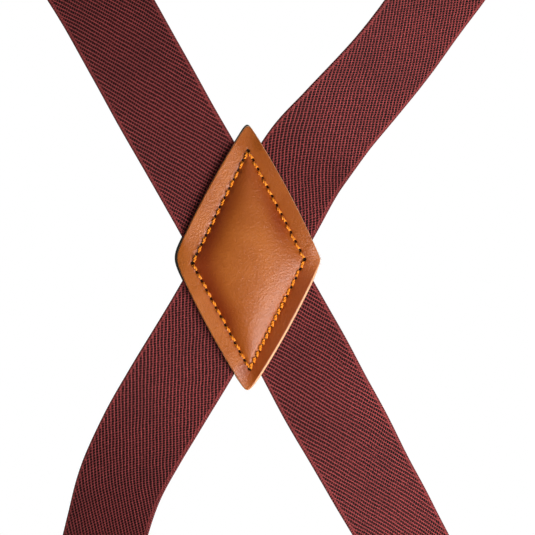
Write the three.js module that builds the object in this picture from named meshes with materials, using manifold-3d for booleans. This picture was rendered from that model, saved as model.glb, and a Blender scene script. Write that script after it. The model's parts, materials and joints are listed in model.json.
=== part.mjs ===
// Clip-on dress suspenders with an X back: two elastic webbing straps cross under a
// padded leather patch between the shoulder blades. They keep the shape they take
// when worn. Millimetres, +Z up. The wearer faces +Y, so the patch faces -Y and the
// wearer's right is +X. The origin lies midway between the tops of the two shoulders.
import * as THREE from "three";
import { mergeVertices } from "three/addons/utils/BufferGeometryUtils.js";
import Module from "manifold-3d";

const wasm = await Module();
wasm.setup();

// ---- driving dimensions ----

const GAP = 0.3; // clearance between neighbouring pieces

const WEB_WIDTH = 35;
const WEB_THICK = 1.3;

const PATCH_HALF_WIDTH = 27;
const PATCH_HALF_HEIGHT = 50;
const PATCH_HEIGHT_AT = -210; // the patch centre, below the shoulder tops
const LINING_Y = -106; // the lining's face on the wearer's back
const LINING_THICK = 1;
const LEATHER_THICK = 1.2;
const PADDING_THICK = 2.6;

const SHOULDER_X = 118;
const FRONT_X = 136; // where the straps hang down the front of a broad chest
const CHEST_Y = 112;

const BAR_HALF = 1.6; // half the thickness of a clip ring's bars
const BAR_CHAMFER = 0.9;
const RING_INSIDE = 36.6;
const RING_DROP = 11; // between the ring's two bars
const LOOP_RADIUS = 2.8; // middle of the webbing that turns round a ring's bar

const REAR_BAR_Z = -462;
const FRONT_BAR_Z = -452;
const REAR_LOOP_TOP = 45;
const FRONT_LOOP_TOP = 22;
const REAR_LAYER = WEB_THICK / 2 + GAP / 2; // half the spacing of the sewn layers

const SHEET = 1; // sheet metal thickness of the clips and adjusters
const PIN_RADIUS = 1;
const PIN_HOLE = 1.3;
const CLIP_WIDTH = 31;
const CLIP_PLATE_Y = 4.6; // the back plate's middle, on the wearer's side of the ring
const CLIP_BOTTOM = -42;
const HOOK_RADIUS = 2.6; // middle of the sheet curled round the ring's lower bar
const CLIP_PIN_Z = -36;
const PAD_THICK = 1;
const JAW_REACH = 3.6; // from the lever's pin to the face of its grip pad
const JAW_GAP = 0.7;
const PAD_FACE_Y = CLIP_PLATE_Y - SHEET / 2 - GAP - PAD_THICK;
const CLIP_PIN_Y = PAD_FACE_Y - JAW_GAP - JAW_REACH;
const COVER_Y = CLIP_PIN_Y - 3.4; // the lever's cover plate

const ADJUSTER_UP = 130; // the adjuster's centre above the front ring's bar
const ADJUSTER_WIDTH = 41;
const ADJUSTER_HEIGHT = 24;
const TAIL_BAR_RADIUS = 0.8;
const TAIL_BAR_Z = -7;
const TAIL_TURN = TAIL_BAR_RADIUS + GAP + WEB_THICK / 2;
const GRIPPER_PIN_Y = 0.6;
const GRIPPER_PIN_Z = 5;

// ---- materials ----

function material(color, roughness, metalness) {
  return new THREE.MeshStandardMaterial({ color, roughness, metalness });
}

const webbing = material(0x5e2b2b, 0.85, 0);
const leather = material(0xb06530, 0.45, 0);
const liningLeather = material(0x4c463c, 0.8, 0);
const foam = material(0xd8d2c0, 0.95, 0);
const goldThread = material(0xe89a1c, 0.6, 0);
const wineThread = material(0x6e3030, 0.7, 0);
const brass = material(0xb8935a, 0.3, 1);
const gripRubber = material(0x1c1b1a, 0.7, 0);

// ---- solids ----

function toSolid(geometry) {
  const bare = geometry.clone();
  bare.deleteAttribute("normal");
  bare.deleteAttribute("uv");
  const merged = mergeVertices(bare, 1e-4);
  return new wasm.Manifold(
    new wasm.Mesh({
      numProp: 3,
      vertProperties: merged.attributes.position.array,
      triVerts: new Uint32Array(merged.index.array),
    }),
  );
}

function toGeometry(body) {
  const { vertProperties, triVerts } = body.getMesh();
  const geometry = new THREE.BufferGeometry();
  const positions = new Float32Array(vertProperties);
  geometry.setAttribute("position", new THREE.BufferAttribute(positions, 3));
  geometry.setIndex(new THREE.BufferAttribute(new Uint32Array(triVerts), 1));
  geometry.computeVertexNormals();
  return geometry;
}

function join(...geometries) {
  return toGeometry(geometries.map(toSolid).reduce((a, b) => a.add(b)));
}

// An outline in the Y-Z plane, extruded along X about x = 0.
function alongX(shape, width) {
  const geometry = new THREE.ExtrudeGeometry(shape, {
    depth: width,
    bevelEnabled: false,
    curveSegments: 10,
  });
  const axes = new THREE.Matrix4().makeBasis(
    new THREE.Vector3(0, 1, 0),
    new THREE.Vector3(0, 0, 1),
    new THREE.Vector3(1, 0, 0),
  );
  return geometry.applyMatrix4(axes).translate(-width / 2, 0, 0);
}

// A chamfered outline in the X-Z plane, extruded along Y about y = 0.
function alongY(shape, depth, chamfer) {
  const geometry = new THREE.ExtrudeGeometry(shape, {
    depth: depth - 2 * chamfer,
    bevelThickness: chamfer,
    bevelSize: chamfer,
    bevelOffset: -chamfer,
    bevelSegments: 1,
    curveSegments: 3,
  });
  return geometry.rotateX(Math.PI / 2).translate(0, depth / 2 - chamfer, 0);
}

// The outline of a bent sheet, from the middle line of its edge.
function sheetOutline(line, thickness) {
  const near = [];
  const far = [];
  line.forEach((point, i) => {
    const before = line[Math.max(i - 1, 0)];
    const after = line[Math.min(i + 1, line.length - 1)];
    const arriving = point.clone().sub(i === 0 ? after : before).normalize();
    if (i === 0) arriving.negate();
    const leaving = i === line.length - 1 ? arriving : after.clone().sub(point).normalize();
    const along = arriving.clone().add(leaving).normalize();
    const across = new THREE.Vector2(-along.y, along.x);
    const reach = thickness / 2 / along.dot(arriving);
    near.push(point.clone().addScaledVector(across, reach));
    far.push(point.clone().addScaledVector(across, -reach));
  });
  return new THREE.Shape([...near, ...far.reverse()]);
}

function points2(...pairs) {
  return pairs.map(([a, b]) => new THREE.Vector2(a, b));
}

function roundedRectangle(path, halfWidth, low, high, radius) {
  path.moveTo(-halfWidth + radius, low);
  path.lineTo(halfWidth - radius, low);
  path.absarc(halfWidth - radius, low + radius, radius, -Math.PI / 2, 0);
  path.lineTo(halfWidth, high - radius);
  path.absarc(halfWidth - radius, high - radius, radius, 0, Math.PI / 2);
  path.lineTo(-halfWidth + radius, high);
  path.absarc(-halfWidth + radius, high - radius, radius, Math.PI / 2, Math.PI);
  path.lineTo(-halfWidth, low + radius);
  path.absarc(-halfWidth + radius, low + radius, radius, Math.PI, 1.5 * Math.PI);
  return path;
}

function roundHole(y, z, radius) {
  const hole = new THREE.Path();
  hole.absarc(y, z, radius, 0, 2 * Math.PI);
  return hole;
}

// A pin along X with a riveted head at each end.
function rivetedPin(radius, headRadius, headStart, headThick) {
  const end = headStart + headThick;
  const profile = points2(
    [0, -end],
    [headRadius, -end],
    [headRadius, -headStart],
    [radius, -headStart],
    [radius, headStart],
    [headRadius, headStart],
    [headRadius, end],
    [0, end],
  );
  return new THREE.LatheGeometry(profile, 16).rotateZ(-Math.PI / 2);
}

// ---- webbing ----

// A point on a webbing's middle line, and the way its outer face looks there.
function station(x, y, z, ...outward) {
  return { at: new THREE.Vector3(x, y, z), outward: new THREE.Vector3(...outward) };
}

// The way the outer face looks, turning evenly from one station to the next.
function facingAt(stations, t) {
  const place = Math.min(t, 1) * (stations.length - 1);
  const before = Math.min(Math.floor(place), stations.length - 2);
  const turn = THREE.MathUtils.smoothstep(place - before, 0, 1);
  return stations[before].outward.clone().lerp(stations[before + 1].outward, turn);
}

// A flat ribbon through the stations from one to another; its ends stop short of
// the next piece by half the usual gap.
function ribbon(stations, first = 0, last = stations.length - 1, width = WEB_WIDTH) {
  const STEPS_PER_STATION = 4;
  const route = new THREE.CatmullRomCurve3(stations.map((s) => s.at));
  const whole = stations.length - 1;
  const steps = (last - first) * STEPS_PER_STATION;
  const geometry = new THREE.BoxGeometry(width, WEB_THICK, 1, 1, 1, steps);
  const position = geometry.attributes.position;
  for (let i = 0; i < position.count; i += 1) {
    const share = position.getZ(i) + 0.5;
    const t = (first + share * (last - first)) / whole;
    const along = route.getTangent(t);
    const outward = facingAt(stations, t);
    outward.addScaledVector(along, -outward.dot(along)).normalize();
    const across = outward.clone().cross(along);
    const place = route.getPoint(t);
    place.addScaledVector(along, (GAP / 2) * (1 - 2 * share));
    place.addScaledVector(across, position.getX(i));
    place.addScaledVector(outward, position.getY(i));
    position.setXYZ(i, place.x, place.y, place.z);
  }
  return geometry;
}

// ---- the four ends of the straps ----

// Each end is a group whose origin is the upper bar of its clip ring. Its X runs
// across the webbing and its -Y faces away from the wearer.
const REAR_YAW = 16;
const FRONT_YAW = 18;

function strapEnd(x, y, z, degrees) {
  const group = new THREE.Group();
  group.position.set(x, y, z);
  group.rotation.z = THREE.MathUtils.degToRad(degrees);
  group.updateMatrix();
  return group;
}

const ends = {
  rear_left: strapEnd(-78, -94, REAR_BAR_Z, -REAR_YAW),
  rear_right: strapEnd(82, -94, REAR_BAR_Z, REAR_YAW),
  front_left: strapEnd(-FRONT_X, CHEST_Y - LOOP_RADIUS, FRONT_BAR_Z, 180 + FRONT_YAW),
  front_right: strapEnd(FRONT_X, CHEST_Y - LOOP_RADIUS, FRONT_BAR_Z, 180 - FRONT_YAW),
};

// A station of the webbing's outer layer, at a height above an end's bar.
function stationAbove(end, layer, height) {
  const at = new THREE.Vector3(0, -layer, height).applyMatrix4(end.matrix);
  const outward = new THREE.Vector3(0, -1, 0).transformDirection(end.matrix);
  return { at, outward };
}

// ---- strap routes, from the rear end up, over the shoulder and down the front ----

const UNDER_STRAP_Y = LINING_Y - LINING_THICK - GAP - WEB_THICK / 2;
const OVER_STRAP_Y = UNDER_STRAP_Y - WEB_THICK - GAP;

// A station on the back, placed from the patch centre.
function onBack(x, up, y, ...outward) {
  return station(x, y, PATCH_HEIGHT_AT + up, ...outward);
}

// The rest of a route, over a shoulder and straight down the chest. side is +1 for
// the wearer's right and -1 for the left.
function overShoulder(side, end) {
  const onShoulder = (further, y, z, ...outward) =>
    station(side * (SHOULDER_X + further), y, z, side * outward[0], outward[1], outward[2]);
  return [
    onShoulder(-9, -60, -33, 0.24, -0.72, 0.7),
    onShoulder(-2.5, -31, -9, 0.22, -0.4, 0.9),
    onShoulder(0, 0, 0, 0.2, 0, 1),
    onShoulder(4, 31, -8, 0.2, 0.38, 0.9),
    onShoulder(9, 62, -33, 0.22, 0.7, 0.7),
    onShoulder(13.5, 87, -68, 0.25, 0.88, 0.45),
    onShoulder(16.5, 102, -105, 0.28, 0.93, 0.25),
    onShoulder(18, 109, -140, 0.31, 0.94, 0.1),
    stationAbove(end, LOOP_RADIUS, -172 - FRONT_BAR_Z),
    stationAbove(end, LOOP_RADIUS, -200 - FRONT_BAR_Z),
    stationAbove(end, LOOP_RADIUS, -290 - FRONT_BAR_Z),
    stationAbove(end, LOOP_RADIUS, FRONT_LOOP_TOP),
  ];
}

// The left strap runs over the right one and ends at the right rear clip.
const leftRoute = [
  stationAbove(ends.rear_right, REAR_LAYER, REAR_LOOP_TOP),
  stationAbove(ends.rear_right, REAR_LAYER, REAR_LOOP_TOP + 16),
  onBack(76.5, -155, -99, 0.36, -0.93, 0),
  onBack(69, -128, -101.8, 0.42, -0.9, 0),
  onBack(56.5, -101.5, -104.8, 0.43, -0.9, 0),
  onBack(46.5, -83.5, -106.8, 0.35, -0.94, 0),
  onBack(37.5, -67, -108.3, 0.22, -0.97, 0),
  onBack(29, -52, -109.4, 0.06, -1, 0),
  onBack(20.5, -36, OVER_STRAP_Y, 0, -1, 0),
  onBack(8.5, -15, OVER_STRAP_Y, 0, -1, 0),
  onBack(-14, 24.5, OVER_STRAP_Y, 0, -1, 0),
  onBack(-20.5, 36, OVER_STRAP_Y, 0, -1, 0),
  onBack(-30, 52.5, -109.3, 0, -1, 0),
  onBack(-42.5, 75, -107.6, -0.04, -1, 0.08),
  onBack(-55.5, 98, -104.2, -0.1, -0.98, 0.2),
  station(-72, -97, -86, -0.18, -0.9, 0.36),
  station(-91, -81, -59, -0.22, -0.8, 0.55),
  ...overShoulder(-1, ends.front_left),
];

const rightRoute = [
  stationAbove(ends.rear_left, REAR_LAYER, REAR_LOOP_TOP),
  stationAbove(ends.rear_left, REAR_LAYER, REAR_LOOP_TOP + 16),
  onBack(-67.5, -155, -98.6, -0.37, -0.93, 0),
  onBack(-59.5, -128, -100.8, -0.43, -0.9, 0),
  onBack(-53.5, -102, -103.2, -0.45, -0.89, 0),
  onBack(-48, -84, -104.9, -0.36, -0.93, 0),
  onBack(-40, -68, -106.4, -0.23, -0.97, 0),
  onBack(-31, -52.5, -107.8, -0.07, -1, 0),
  onBack(-21, -36, UNDER_STRAP_Y, 0, -1, 0),
  onBack(-8.5, -15, UNDER_STRAP_Y, 0, -1, 0),
  onBack(11, 19, UNDER_STRAP_Y, 0, -1, 0),
  onBack(21, 36.5, UNDER_STRAP_Y, 0, -1, 0),
  onBack(33.5, 52, -108, 0.26, -0.93, -0.22),
  onBack(54, 75.5, -106.2, 0.37, -0.88, -0.28),
  onBack(70.5, 98, -103.2, 0.4, -0.87, -0.22),
  station(87, -96.5, -86, 0.38, -0.86, 0.08),
  station(98.5, -81, -59, 0.3, -0.8, 0.45),
  ...overShoulder(1, ends.front_right),
];

// Where one webbing piece ends and the next starts, as station numbers.
const UNDER_PATCH = 9;
const BEHIND_SHOULDER = 15;
const BELOW_COLLARBONE = 23;
const CHEST_END = 26;

// ---- crosspatch ----

// The patch's outline as a radius round its centre: a diamond with slightly full
// sides and small round tips.
function patchRadius(angle) {
  const FULLNESS = 1.1;
  const TIP_ROUNDING = 0.05;
  const across = Math.hypot(Math.cos(angle), TIP_ROUNDING) / PATCH_HALF_WIDTH;
  const up = Math.hypot(Math.sin(angle), TIP_ROUNDING) / PATCH_HALF_HEIGHT;
  return (across ** FULLNESS + up ** FULLNESS) ** (-1 / FULLNESS);
}

// A layer of the patch, from a profile of [share of the outline, distance outward].
function patchLayer(profile) {
  const SIDES = 48;
  const geometry = new THREE.LatheGeometry(points2(...profile), SIDES);
  const position = geometry.attributes.position;
  const tips = [0, Math.PI / 2].map(patchRadius);
  for (let i = 0; i < position.count; i += 1) {
    const x = position.getX(i);
    const z = position.getZ(i);
    const share = Math.hypot(x, z);
    const angle = Math.atan2(z, x);
    const radius = share < 1e-6 ? 0 : share * patchRadius(angle);
    const wide = (radius * Math.cos(angle) * PATCH_HALF_WIDTH) / tips[0];
    const tall = (radius * Math.sin(angle) * PATCH_HALF_HEIGHT) / tips[1];
    position.setXYZ(i, wide, -position.getY(i), -tall);
  }
  return geometry.translate(0, LINING_Y, PATCH_HEIGHT_AT);
}

const OVER_STRAP_FACE = LINING_Y - OVER_STRAP_Y + WEB_THICK / 2;
const PADDING_BACK = OVER_STRAP_FACE + GAP;
const LEATHER_BACK = PADDING_BACK + PADDING_THICK + GAP;

function patchLining() {
  return patchLayer([[0, 0], [1.01, 0], [1.01, LINING_THICK], [0, LINING_THICK]]);
}

function patchPadding() {
  return patchLayer([
    [0, PADDING_BACK],
    [0.7, PADDING_BACK],
    [0.6, PADDING_BACK + 0.45 * PADDING_THICK],
    [0.35, PADDING_BACK + 0.85 * PADDING_THICK],
    [0, PADDING_BACK + PADDING_THICK],
  ]);
}

function patchFace() {
  return patchLayer([
    [0, LEATHER_BACK],
    [0.36, LEATHER_BACK - 0.3],
    [0.62, LEATHER_BACK - 1.3],
    [0.74, PADDING_BACK],
    [1, PADDING_BACK],
    [1, PADDING_BACK + LEATHER_THICK],
    [0.9, PADDING_BACK + LEATHER_THICK + 0.2],
    [0.82, PADDING_BACK + LEATHER_THICK],
    [0.76, PADDING_BACK + LEATHER_THICK],
    [0.63, LEATHER_BACK - 1.3 + LEATHER_THICK],
    [0.36, LEATHER_BACK - 0.3 + LEATHER_THICK],
    [0, LEATHER_BACK + LEATHER_THICK],
  ]);
}

function patchStitching() {
  const low = PADDING_BACK + LEATHER_THICK + GAP;
  return patchLayer([[0.775, low], [0.81, low], [0.81, low + 0.6], [0.775, low + 0.6], [0.775, low]]);
}

// ---- clip and its ring, with the ring's lower bar as the clip's origin ----

function clipRing() {
  const shape = roundedRectangle(
    new THREE.Shape(),
    RING_INSIDE / 2 + 2 * BAR_HALF,
    -RING_DROP - BAR_HALF,
    BAR_HALF,
    3,
  );
  const window = roundedRectangle(
    new THREE.Path(),
    RING_INSIDE / 2,
    -RING_DROP + BAR_HALF,
    -BAR_HALF,
    1,
  );
  shape.holes.push(window);
  return alongY(shape, 2 * BAR_HALF, BAR_CHAMFER);
}

// The back plate, curled round the ring's bar at its top.
function clipPlate() {
  const HOOK_END = 285;
  const HOOK_STEP = 19;
  const line = points2([CLIP_PLATE_Y, CLIP_BOTTOM], [CLIP_PLATE_Y, -8], [HOOK_RADIUS, -3]);
  for (let degrees = 0; degrees <= HOOK_END; degrees += HOOK_STEP) {
    const angle = THREE.MathUtils.degToRad(degrees);
    line.push(new THREE.Vector2(Math.cos(angle), Math.sin(angle)).multiplyScalar(HOOK_RADIUS));
  }
  return alongX(sheetOutline(line, SHEET), CLIP_WIDTH);
}

// One of the two ears that carry the lever's pin.
function clipEar(x) {
  const EAR_RADIUS = 2.4;
  const shape = new THREE.Shape();
  shape.moveTo(CLIP_PLATE_Y, CLIP_PIN_Z - 3);
  shape.lineTo(CLIP_PLATE_Y, CLIP_PIN_Z + 8);
  shape.lineTo(CLIP_PIN_Y, CLIP_PIN_Z + EAR_RADIUS);
  shape.absarc(CLIP_PIN_Y, CLIP_PIN_Z, EAR_RADIUS, Math.PI / 2, 1.5 * Math.PI);
  shape.holes.push(roundHole(CLIP_PIN_Y, CLIP_PIN_Z, PIN_HOLE));
  return alongX(shape, SHEET).translate(x, 0, 0);
}

function clipBody() {
  const earX = (CLIP_WIDTH - SHEET) / 2;
  return join(clipPlate(), clipEar(-earX), clipEar(earX));
}

// The moulded grip on the back plate, with ridges across it.
function bodyPad() {
  const RIDGES = 5;
  const PITCH = 2;
  const back = PAD_FACE_Y + PAD_THICK;
  const bottom = CLIP_PIN_Z - 5;
  const line = points2([back, bottom]);
  for (let i = 0; i < RIDGES; i += 1) {
    line.push(new THREE.Vector2(PAD_FACE_Y + 0.4, bottom + i * PITCH));
    line.push(new THREE.Vector2(PAD_FACE_Y, bottom + (i + 0.5) * PITCH));
  }
  line.push(new THREE.Vector2(PAD_FACE_Y + 0.4, bottom + RIDGES * PITCH));
  line.push(new THREE.Vector2(back, bottom + RIDGES * PITCH));
  return alongX(new THREE.Shape(line), 27);
}

// The lever: a cover plate with a thumb lip, and a barrel with a nose round the pin.
function clipLever() {
  const BARREL_RADIUS = 2;
  const NOSE_TIP = CLIP_PIN_Y + 2.2;
  const cover = sheetOutline(
    points2([COVER_Y, CLIP_PIN_Z - 2.3], [COVER_Y, -15], [COVER_Y - 1.3, -9.5]),
    SHEET,
  );
  const cam = new THREE.Shape();
  cam.moveTo(NOSE_TIP, CLIP_PIN_Z - 1.7);
  cam.lineTo(NOSE_TIP, CLIP_PIN_Z + 1.7);
  cam.lineTo(CLIP_PIN_Y, CLIP_PIN_Z + BARREL_RADIUS);
  cam.lineTo(COVER_Y, CLIP_PIN_Z + BARREL_RADIUS);
  cam.lineTo(COVER_Y, CLIP_PIN_Z - BARREL_RADIUS);
  cam.lineTo(CLIP_PIN_Y, CLIP_PIN_Z - BARREL_RADIUS);
  cam.holes.push(roundHole(CLIP_PIN_Y, CLIP_PIN_Z, PIN_HOLE));
  return join(alongX(cover, CLIP_WIDTH + 1.5), alongX(cam, 25));
}

// The grip on the lever's nose, toothed on the side that bites.
function leverPad() {
  const back = CLIP_PIN_Y + 2.2 + GAP;
  const face = CLIP_PIN_Y + JAW_REACH;
  const outline = points2(
    [back, CLIP_PIN_Z - 1.8],
    [face - 0.35, CLIP_PIN_Z - 1.8],
    [face, CLIP_PIN_Z - 0.9],
    [face - 0.4, CLIP_PIN_Z],
    [face, CLIP_PIN_Z + 0.9],
    [face - 0.35, CLIP_PIN_Z + 1.8],
    [back, CLIP_PIN_Z + 1.8],
  );
  return alongX(new THREE.Shape(outline), 25);
}

function clipPin() {
  const headStart = CLIP_WIDTH / 2 + GAP;
  return rivetedPin(PIN_RADIUS, 1.7, headStart, 0.7).translate(0, CLIP_PIN_Y, CLIP_PIN_Z);
}

// ---- webbing pieces at the ends, in the end's own frame ----

const TURN = Math.SQRT1_2;

// The webbing's turn under a ring's bar, as stations from the outer side inward.
function turnUnderBar() {
  return [
    station(0, -LOOP_RADIUS, 0, 0, -1, 0),
    station(0, -LOOP_RADIUS * TURN, -LOOP_RADIUS * TURN, 0, -TURN, -TURN),
    station(0, 0, -LOOP_RADIUS, 0, 0, -1),
    station(0, LOOP_RADIUS * TURN, -LOOP_RADIUS * TURN, 0, TURN, -TURN),
    station(0, LOOP_RADIUS, 0, 0, 1, 0),
  ];
}

// The webbing's own end, folded round the ring and back up behind itself.
function rearLoop() {
  return ribbon([
    station(0, -REAR_LAYER, REAR_LOOP_TOP, 0, -1, 0),
    station(0, -REAR_LAYER, 24, 0, -1, 0),
    station(0, -1.9, 12, 0, -1, -0.15),
    station(0, -LOOP_RADIUS, 5, 0, -1, 0),
    ...turnUnderBar(),
    station(0, LOOP_RADIUS, 5, 0, 1, 0),
    station(0, 1.9, 12, 0, 1, -0.15),
    station(0, REAR_LAYER, 24, 0, 1, 0),
    station(0, REAR_LAYER, 40, 0, 1, 0),
  ]);
}

function frontLoop() {
  return ribbon([
    station(0, -LOOP_RADIUS, FRONT_LOOP_TOP, 0, -1, 0),
    station(0, -LOOP_RADIUS, 8, 0, -1, 0),
    ...turnUnderBar(),
    station(0, LOOP_RADIUS, 8, 0, 1, 0),
    station(0, LOOP_RADIUS, FRONT_LOOP_TOP, 0, 1, 0),
  ]);
}

// The webbing's return layer, from the front loop up to the adjuster's tail bar.
function tail() {
  const bar = ADJUSTER_UP + TAIL_BAR_Z;
  const barY = LOOP_RADIUS - TAIL_TURN;
  const FOLD = 14;
  return ribbon([
    station(0, LOOP_RADIUS, FRONT_LOOP_TOP, 0, 1, 0),
    station(0, LOOP_RADIUS, 70, 0, 1, 0),
    station(0, LOOP_RADIUS, bar - 6, 0, 1, 0),
    station(0, LOOP_RADIUS, bar, 0, 1, 0),
    station(0, barY + TAIL_TURN * TURN, bar + TAIL_TURN * TURN, 0, TURN, TURN),
    station(0, barY, bar + TAIL_TURN, 0, 0, 1),
    station(0, barY - TAIL_TURN * TURN, bar + TAIL_TURN * TURN, 0, -TURN, TURN),
    station(0, barY - TAIL_TURN, bar, 0, -1, 0),
    station(0, barY - TAIL_TURN, bar - 5, 0, -1, 0),
    station(0, barY - TAIL_TURN, bar - FOLD, 0, -1, 0),
  ]);
}

// A rectangle of stitches that holds the folded end, raised from the outer face.
function boxStitch() {
  const THICK = 0.5;
  const shape = roundedRectangle(new THREE.Shape(), 13.5, 26, 40, 0.6);
  shape.holes.push(roundedRectangle(new THREE.Path(), 12.3, 27.2, 38.8, 0.3));
  const y = -REAR_LAYER - WEB_THICK / 2 - GAP - THICK / 2;
  return alongY(shape, THICK, 0.1).translate(0, y, 0);
}

// A bar of stitches across the tail, under the adjuster.
function tailStitch() {
  const THICK = 0.5;
  const bar = ADJUSTER_UP + TAIL_BAR_Z;
  const shape = roundedRectangle(new THREE.Shape(), 14, bar - 11, bar - 8.5, 0.4);
  const y = LOOP_RADIUS + WEB_THICK / 2 + GAP + THICK / 2;
  return alongY(shape, THICK, 0.1).translate(0, y, 0);
}

// ---- adjuster, placed by its own group at ADJUSTER_UP ----

function adjusterFrame() {
  const plateY = -LOOP_RADIUS - WEB_THICK / 2 - 0.4 - SHEET / 2;
  const flangeX = WEB_WIDTH / 2 + 1.9;
  const flangeBack = 3.2;
  const rim = roundedRectangle(
    new THREE.Shape(),
    ADJUSTER_WIDTH / 2,
    -ADJUSTER_HEIGHT / 2,
    ADJUSTER_HEIGHT / 2,
    2,
  );
  const plate = alongY(rim, SHEET, 0.25).translate(0, plateY, 0);
  const flange = (side) => {
    const shape = new THREE.Shape();
    shape.moveTo(plateY, -10);
    shape.lineTo(flangeBack, -10);
    shape.lineTo(flangeBack, 8);
    shape.lineTo(plateY, 10);
    shape.holes.push(roundHole(GRIPPER_PIN_Y, GRIPPER_PIN_Z, 1.05));
    return alongX(shape, SHEET).translate(side * flangeX, 0, 0);
  };
  const bar = new THREE.CylinderGeometry(TAIL_BAR_RADIUS, TAIL_BAR_RADIUS, 2 * flangeX, 12);
  bar.rotateZ(Math.PI / 2).translate(0, LOOP_RADIUS - TAIL_TURN, TAIL_BAR_Z);
  return join(plate, flange(-1), flange(1), bar);
}

// The gripper that pinches the webbing against the adjuster's plate.
function adjusterGripper() {
  const BARREL_RADIUS = 1.7;
  const NOSE = 2.3;
  const handleY = GRIPPER_PIN_Y + BARREL_RADIUS + 0.1;
  const cam = new THREE.Shape();
  cam.moveTo(GRIPPER_PIN_Y - NOSE, GRIPPER_PIN_Z - 0.7);
  cam.lineTo(GRIPPER_PIN_Y, GRIPPER_PIN_Z - BARREL_RADIUS);
  cam.lineTo(handleY, GRIPPER_PIN_Z - BARREL_RADIUS);
  cam.lineTo(handleY, GRIPPER_PIN_Z + BARREL_RADIUS);
  cam.lineTo(GRIPPER_PIN_Y, GRIPPER_PIN_Z + BARREL_RADIUS);
  cam.lineTo(GRIPPER_PIN_Y - NOSE, GRIPPER_PIN_Z + 0.7);
  cam.holes.push(roundHole(GRIPPER_PIN_Y, GRIPPER_PIN_Z, 1.05));
  const handle = sheetOutline(
    points2([handleY, GRIPPER_PIN_Z - BARREL_RADIUS], [handleY, 11], [handleY + 1, 14.5]),
    0.8,
  );
  return join(alongX(cam, 33), alongX(handle, 33));
}

function gripperPin() {
  const headStart = WEB_WIDTH / 2 + 1.9 + SHEET / 2 + GAP;
  return rivetedPin(0.75, 1.4, headStart, 0.6).translate(0, GRIPPER_PIN_Y, GRIPPER_PIN_Z);
}

// ---- assembly ----

function mesh(name, geometry, look) {
  const piece = new THREE.Mesh(geometry, look);
  piece.name = name;
  return piece;
}

// The ring and the clip that hang from an end's loop.
function addClip(end, name) {
  const clip = new THREE.Group();
  clip.position.z = -RING_DROP;
  clip.add(
    mesh(`${name}_clip_body`, clipBody(), brass),
    mesh(`${name}_clip_grip_pad`, bodyPad(), gripRubber),
    mesh(`${name}_clip_pin`, clipPin(), brass),
    mesh(`${name}_clip_lever`, clipLever(), brass),
    mesh(`${name}_clip_lever_pad`, leverPad(), gripRubber),
  );
  end.add(mesh(`${name}_clip_ring`, clipRing(), brass), clip);
}

function addAdjuster(end, side) {
  const adjuster = new THREE.Group();
  adjuster.position.z = ADJUSTER_UP;
  adjuster.add(
    mesh(`${side}_adjuster_frame`, adjusterFrame(), brass),
    mesh(`${side}_adjuster_gripper`, adjusterGripper(), brass),
    mesh(`${side}_adjuster_pin`, gripperPin(), brass),
  );
  end.add(adjuster);
}

function addStrap(group, side, route) {
  const last = route.length - 1;
  const pieces = {
    rear_drop: [0, UNDER_PATCH],
    back_strap: [UNDER_PATCH, BEHIND_SHOULDER],
    shoulder_strap: [BEHIND_SHOULDER, BELOW_COLLARBONE],
    chest_strap: [BELOW_COLLARBONE, CHEST_END],
    front_drop: [CHEST_END, last],
  };
  for (const [name, [from, to]] of Object.entries(pieces)) {
    group.add(mesh(`${side}_${name}`, ribbon(route, from, to), webbing));
  }
}

const suspenders = new THREE.Group();

suspenders.add(
  mesh("patch_lining", patchLining(), liningLeather),
  mesh("patch_padding", patchPadding(), foam),
  mesh("patch_face_leather", patchFace(), leather),
  mesh("patch_stitching", patchStitching(), goldThread),
);
addStrap(suspenders, "left", leftRoute);
addStrap(suspenders, "right", rightRoute);

for (const [name, end] of Object.entries(ends)) {
  const [place, side] = name.split("_");
  addClip(end, name);
  if (place === "rear") {
    end.add(
      mesh(`${name}_loop`, rearLoop(), webbing),
      mesh(`${name}_box_stitch`, boxStitch(), wineThread),
    );
  } else {
    end.add(
      mesh(`${name}_loop`, frontLoop(), webbing),
      mesh(`${name}_tail`, tail(), webbing),
      mesh(`${name}_tail_stitch`, tailStitch(), wineThread),
    );
    addAdjuster(end, side);
  }
  suspenders.add(end);
}

export default suspenders;
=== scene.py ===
"""The looks of a pair of clip-on dress suspenders: twill elastic webbing, a padded leather
crosspatch with a hand-laid seam, brass adjusters and lever clips. Sizes are in
millimetres, and each mesh is scaled to metres when it is made."""

import json
import math

import bpy
import numpy as np
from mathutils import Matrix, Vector


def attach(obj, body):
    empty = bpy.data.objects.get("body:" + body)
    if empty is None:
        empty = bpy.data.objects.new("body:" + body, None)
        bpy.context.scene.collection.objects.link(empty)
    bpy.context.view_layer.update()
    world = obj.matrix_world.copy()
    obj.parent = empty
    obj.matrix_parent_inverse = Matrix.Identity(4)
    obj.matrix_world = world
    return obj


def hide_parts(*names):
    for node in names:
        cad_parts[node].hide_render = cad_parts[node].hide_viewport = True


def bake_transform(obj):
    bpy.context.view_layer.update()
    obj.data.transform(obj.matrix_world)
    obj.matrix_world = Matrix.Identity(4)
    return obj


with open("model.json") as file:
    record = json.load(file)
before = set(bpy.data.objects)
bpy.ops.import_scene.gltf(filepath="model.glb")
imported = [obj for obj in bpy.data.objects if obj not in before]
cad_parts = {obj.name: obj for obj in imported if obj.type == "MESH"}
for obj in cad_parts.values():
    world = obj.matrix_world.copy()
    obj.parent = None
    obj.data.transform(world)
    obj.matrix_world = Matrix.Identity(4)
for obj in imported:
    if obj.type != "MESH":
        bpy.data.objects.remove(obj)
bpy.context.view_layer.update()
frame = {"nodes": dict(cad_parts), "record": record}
rng = np.random.default_rng(7)

MM = 0.001
TURN = 2 * math.pi

# ---- driving sizes, as in the CAD part ----

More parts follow.
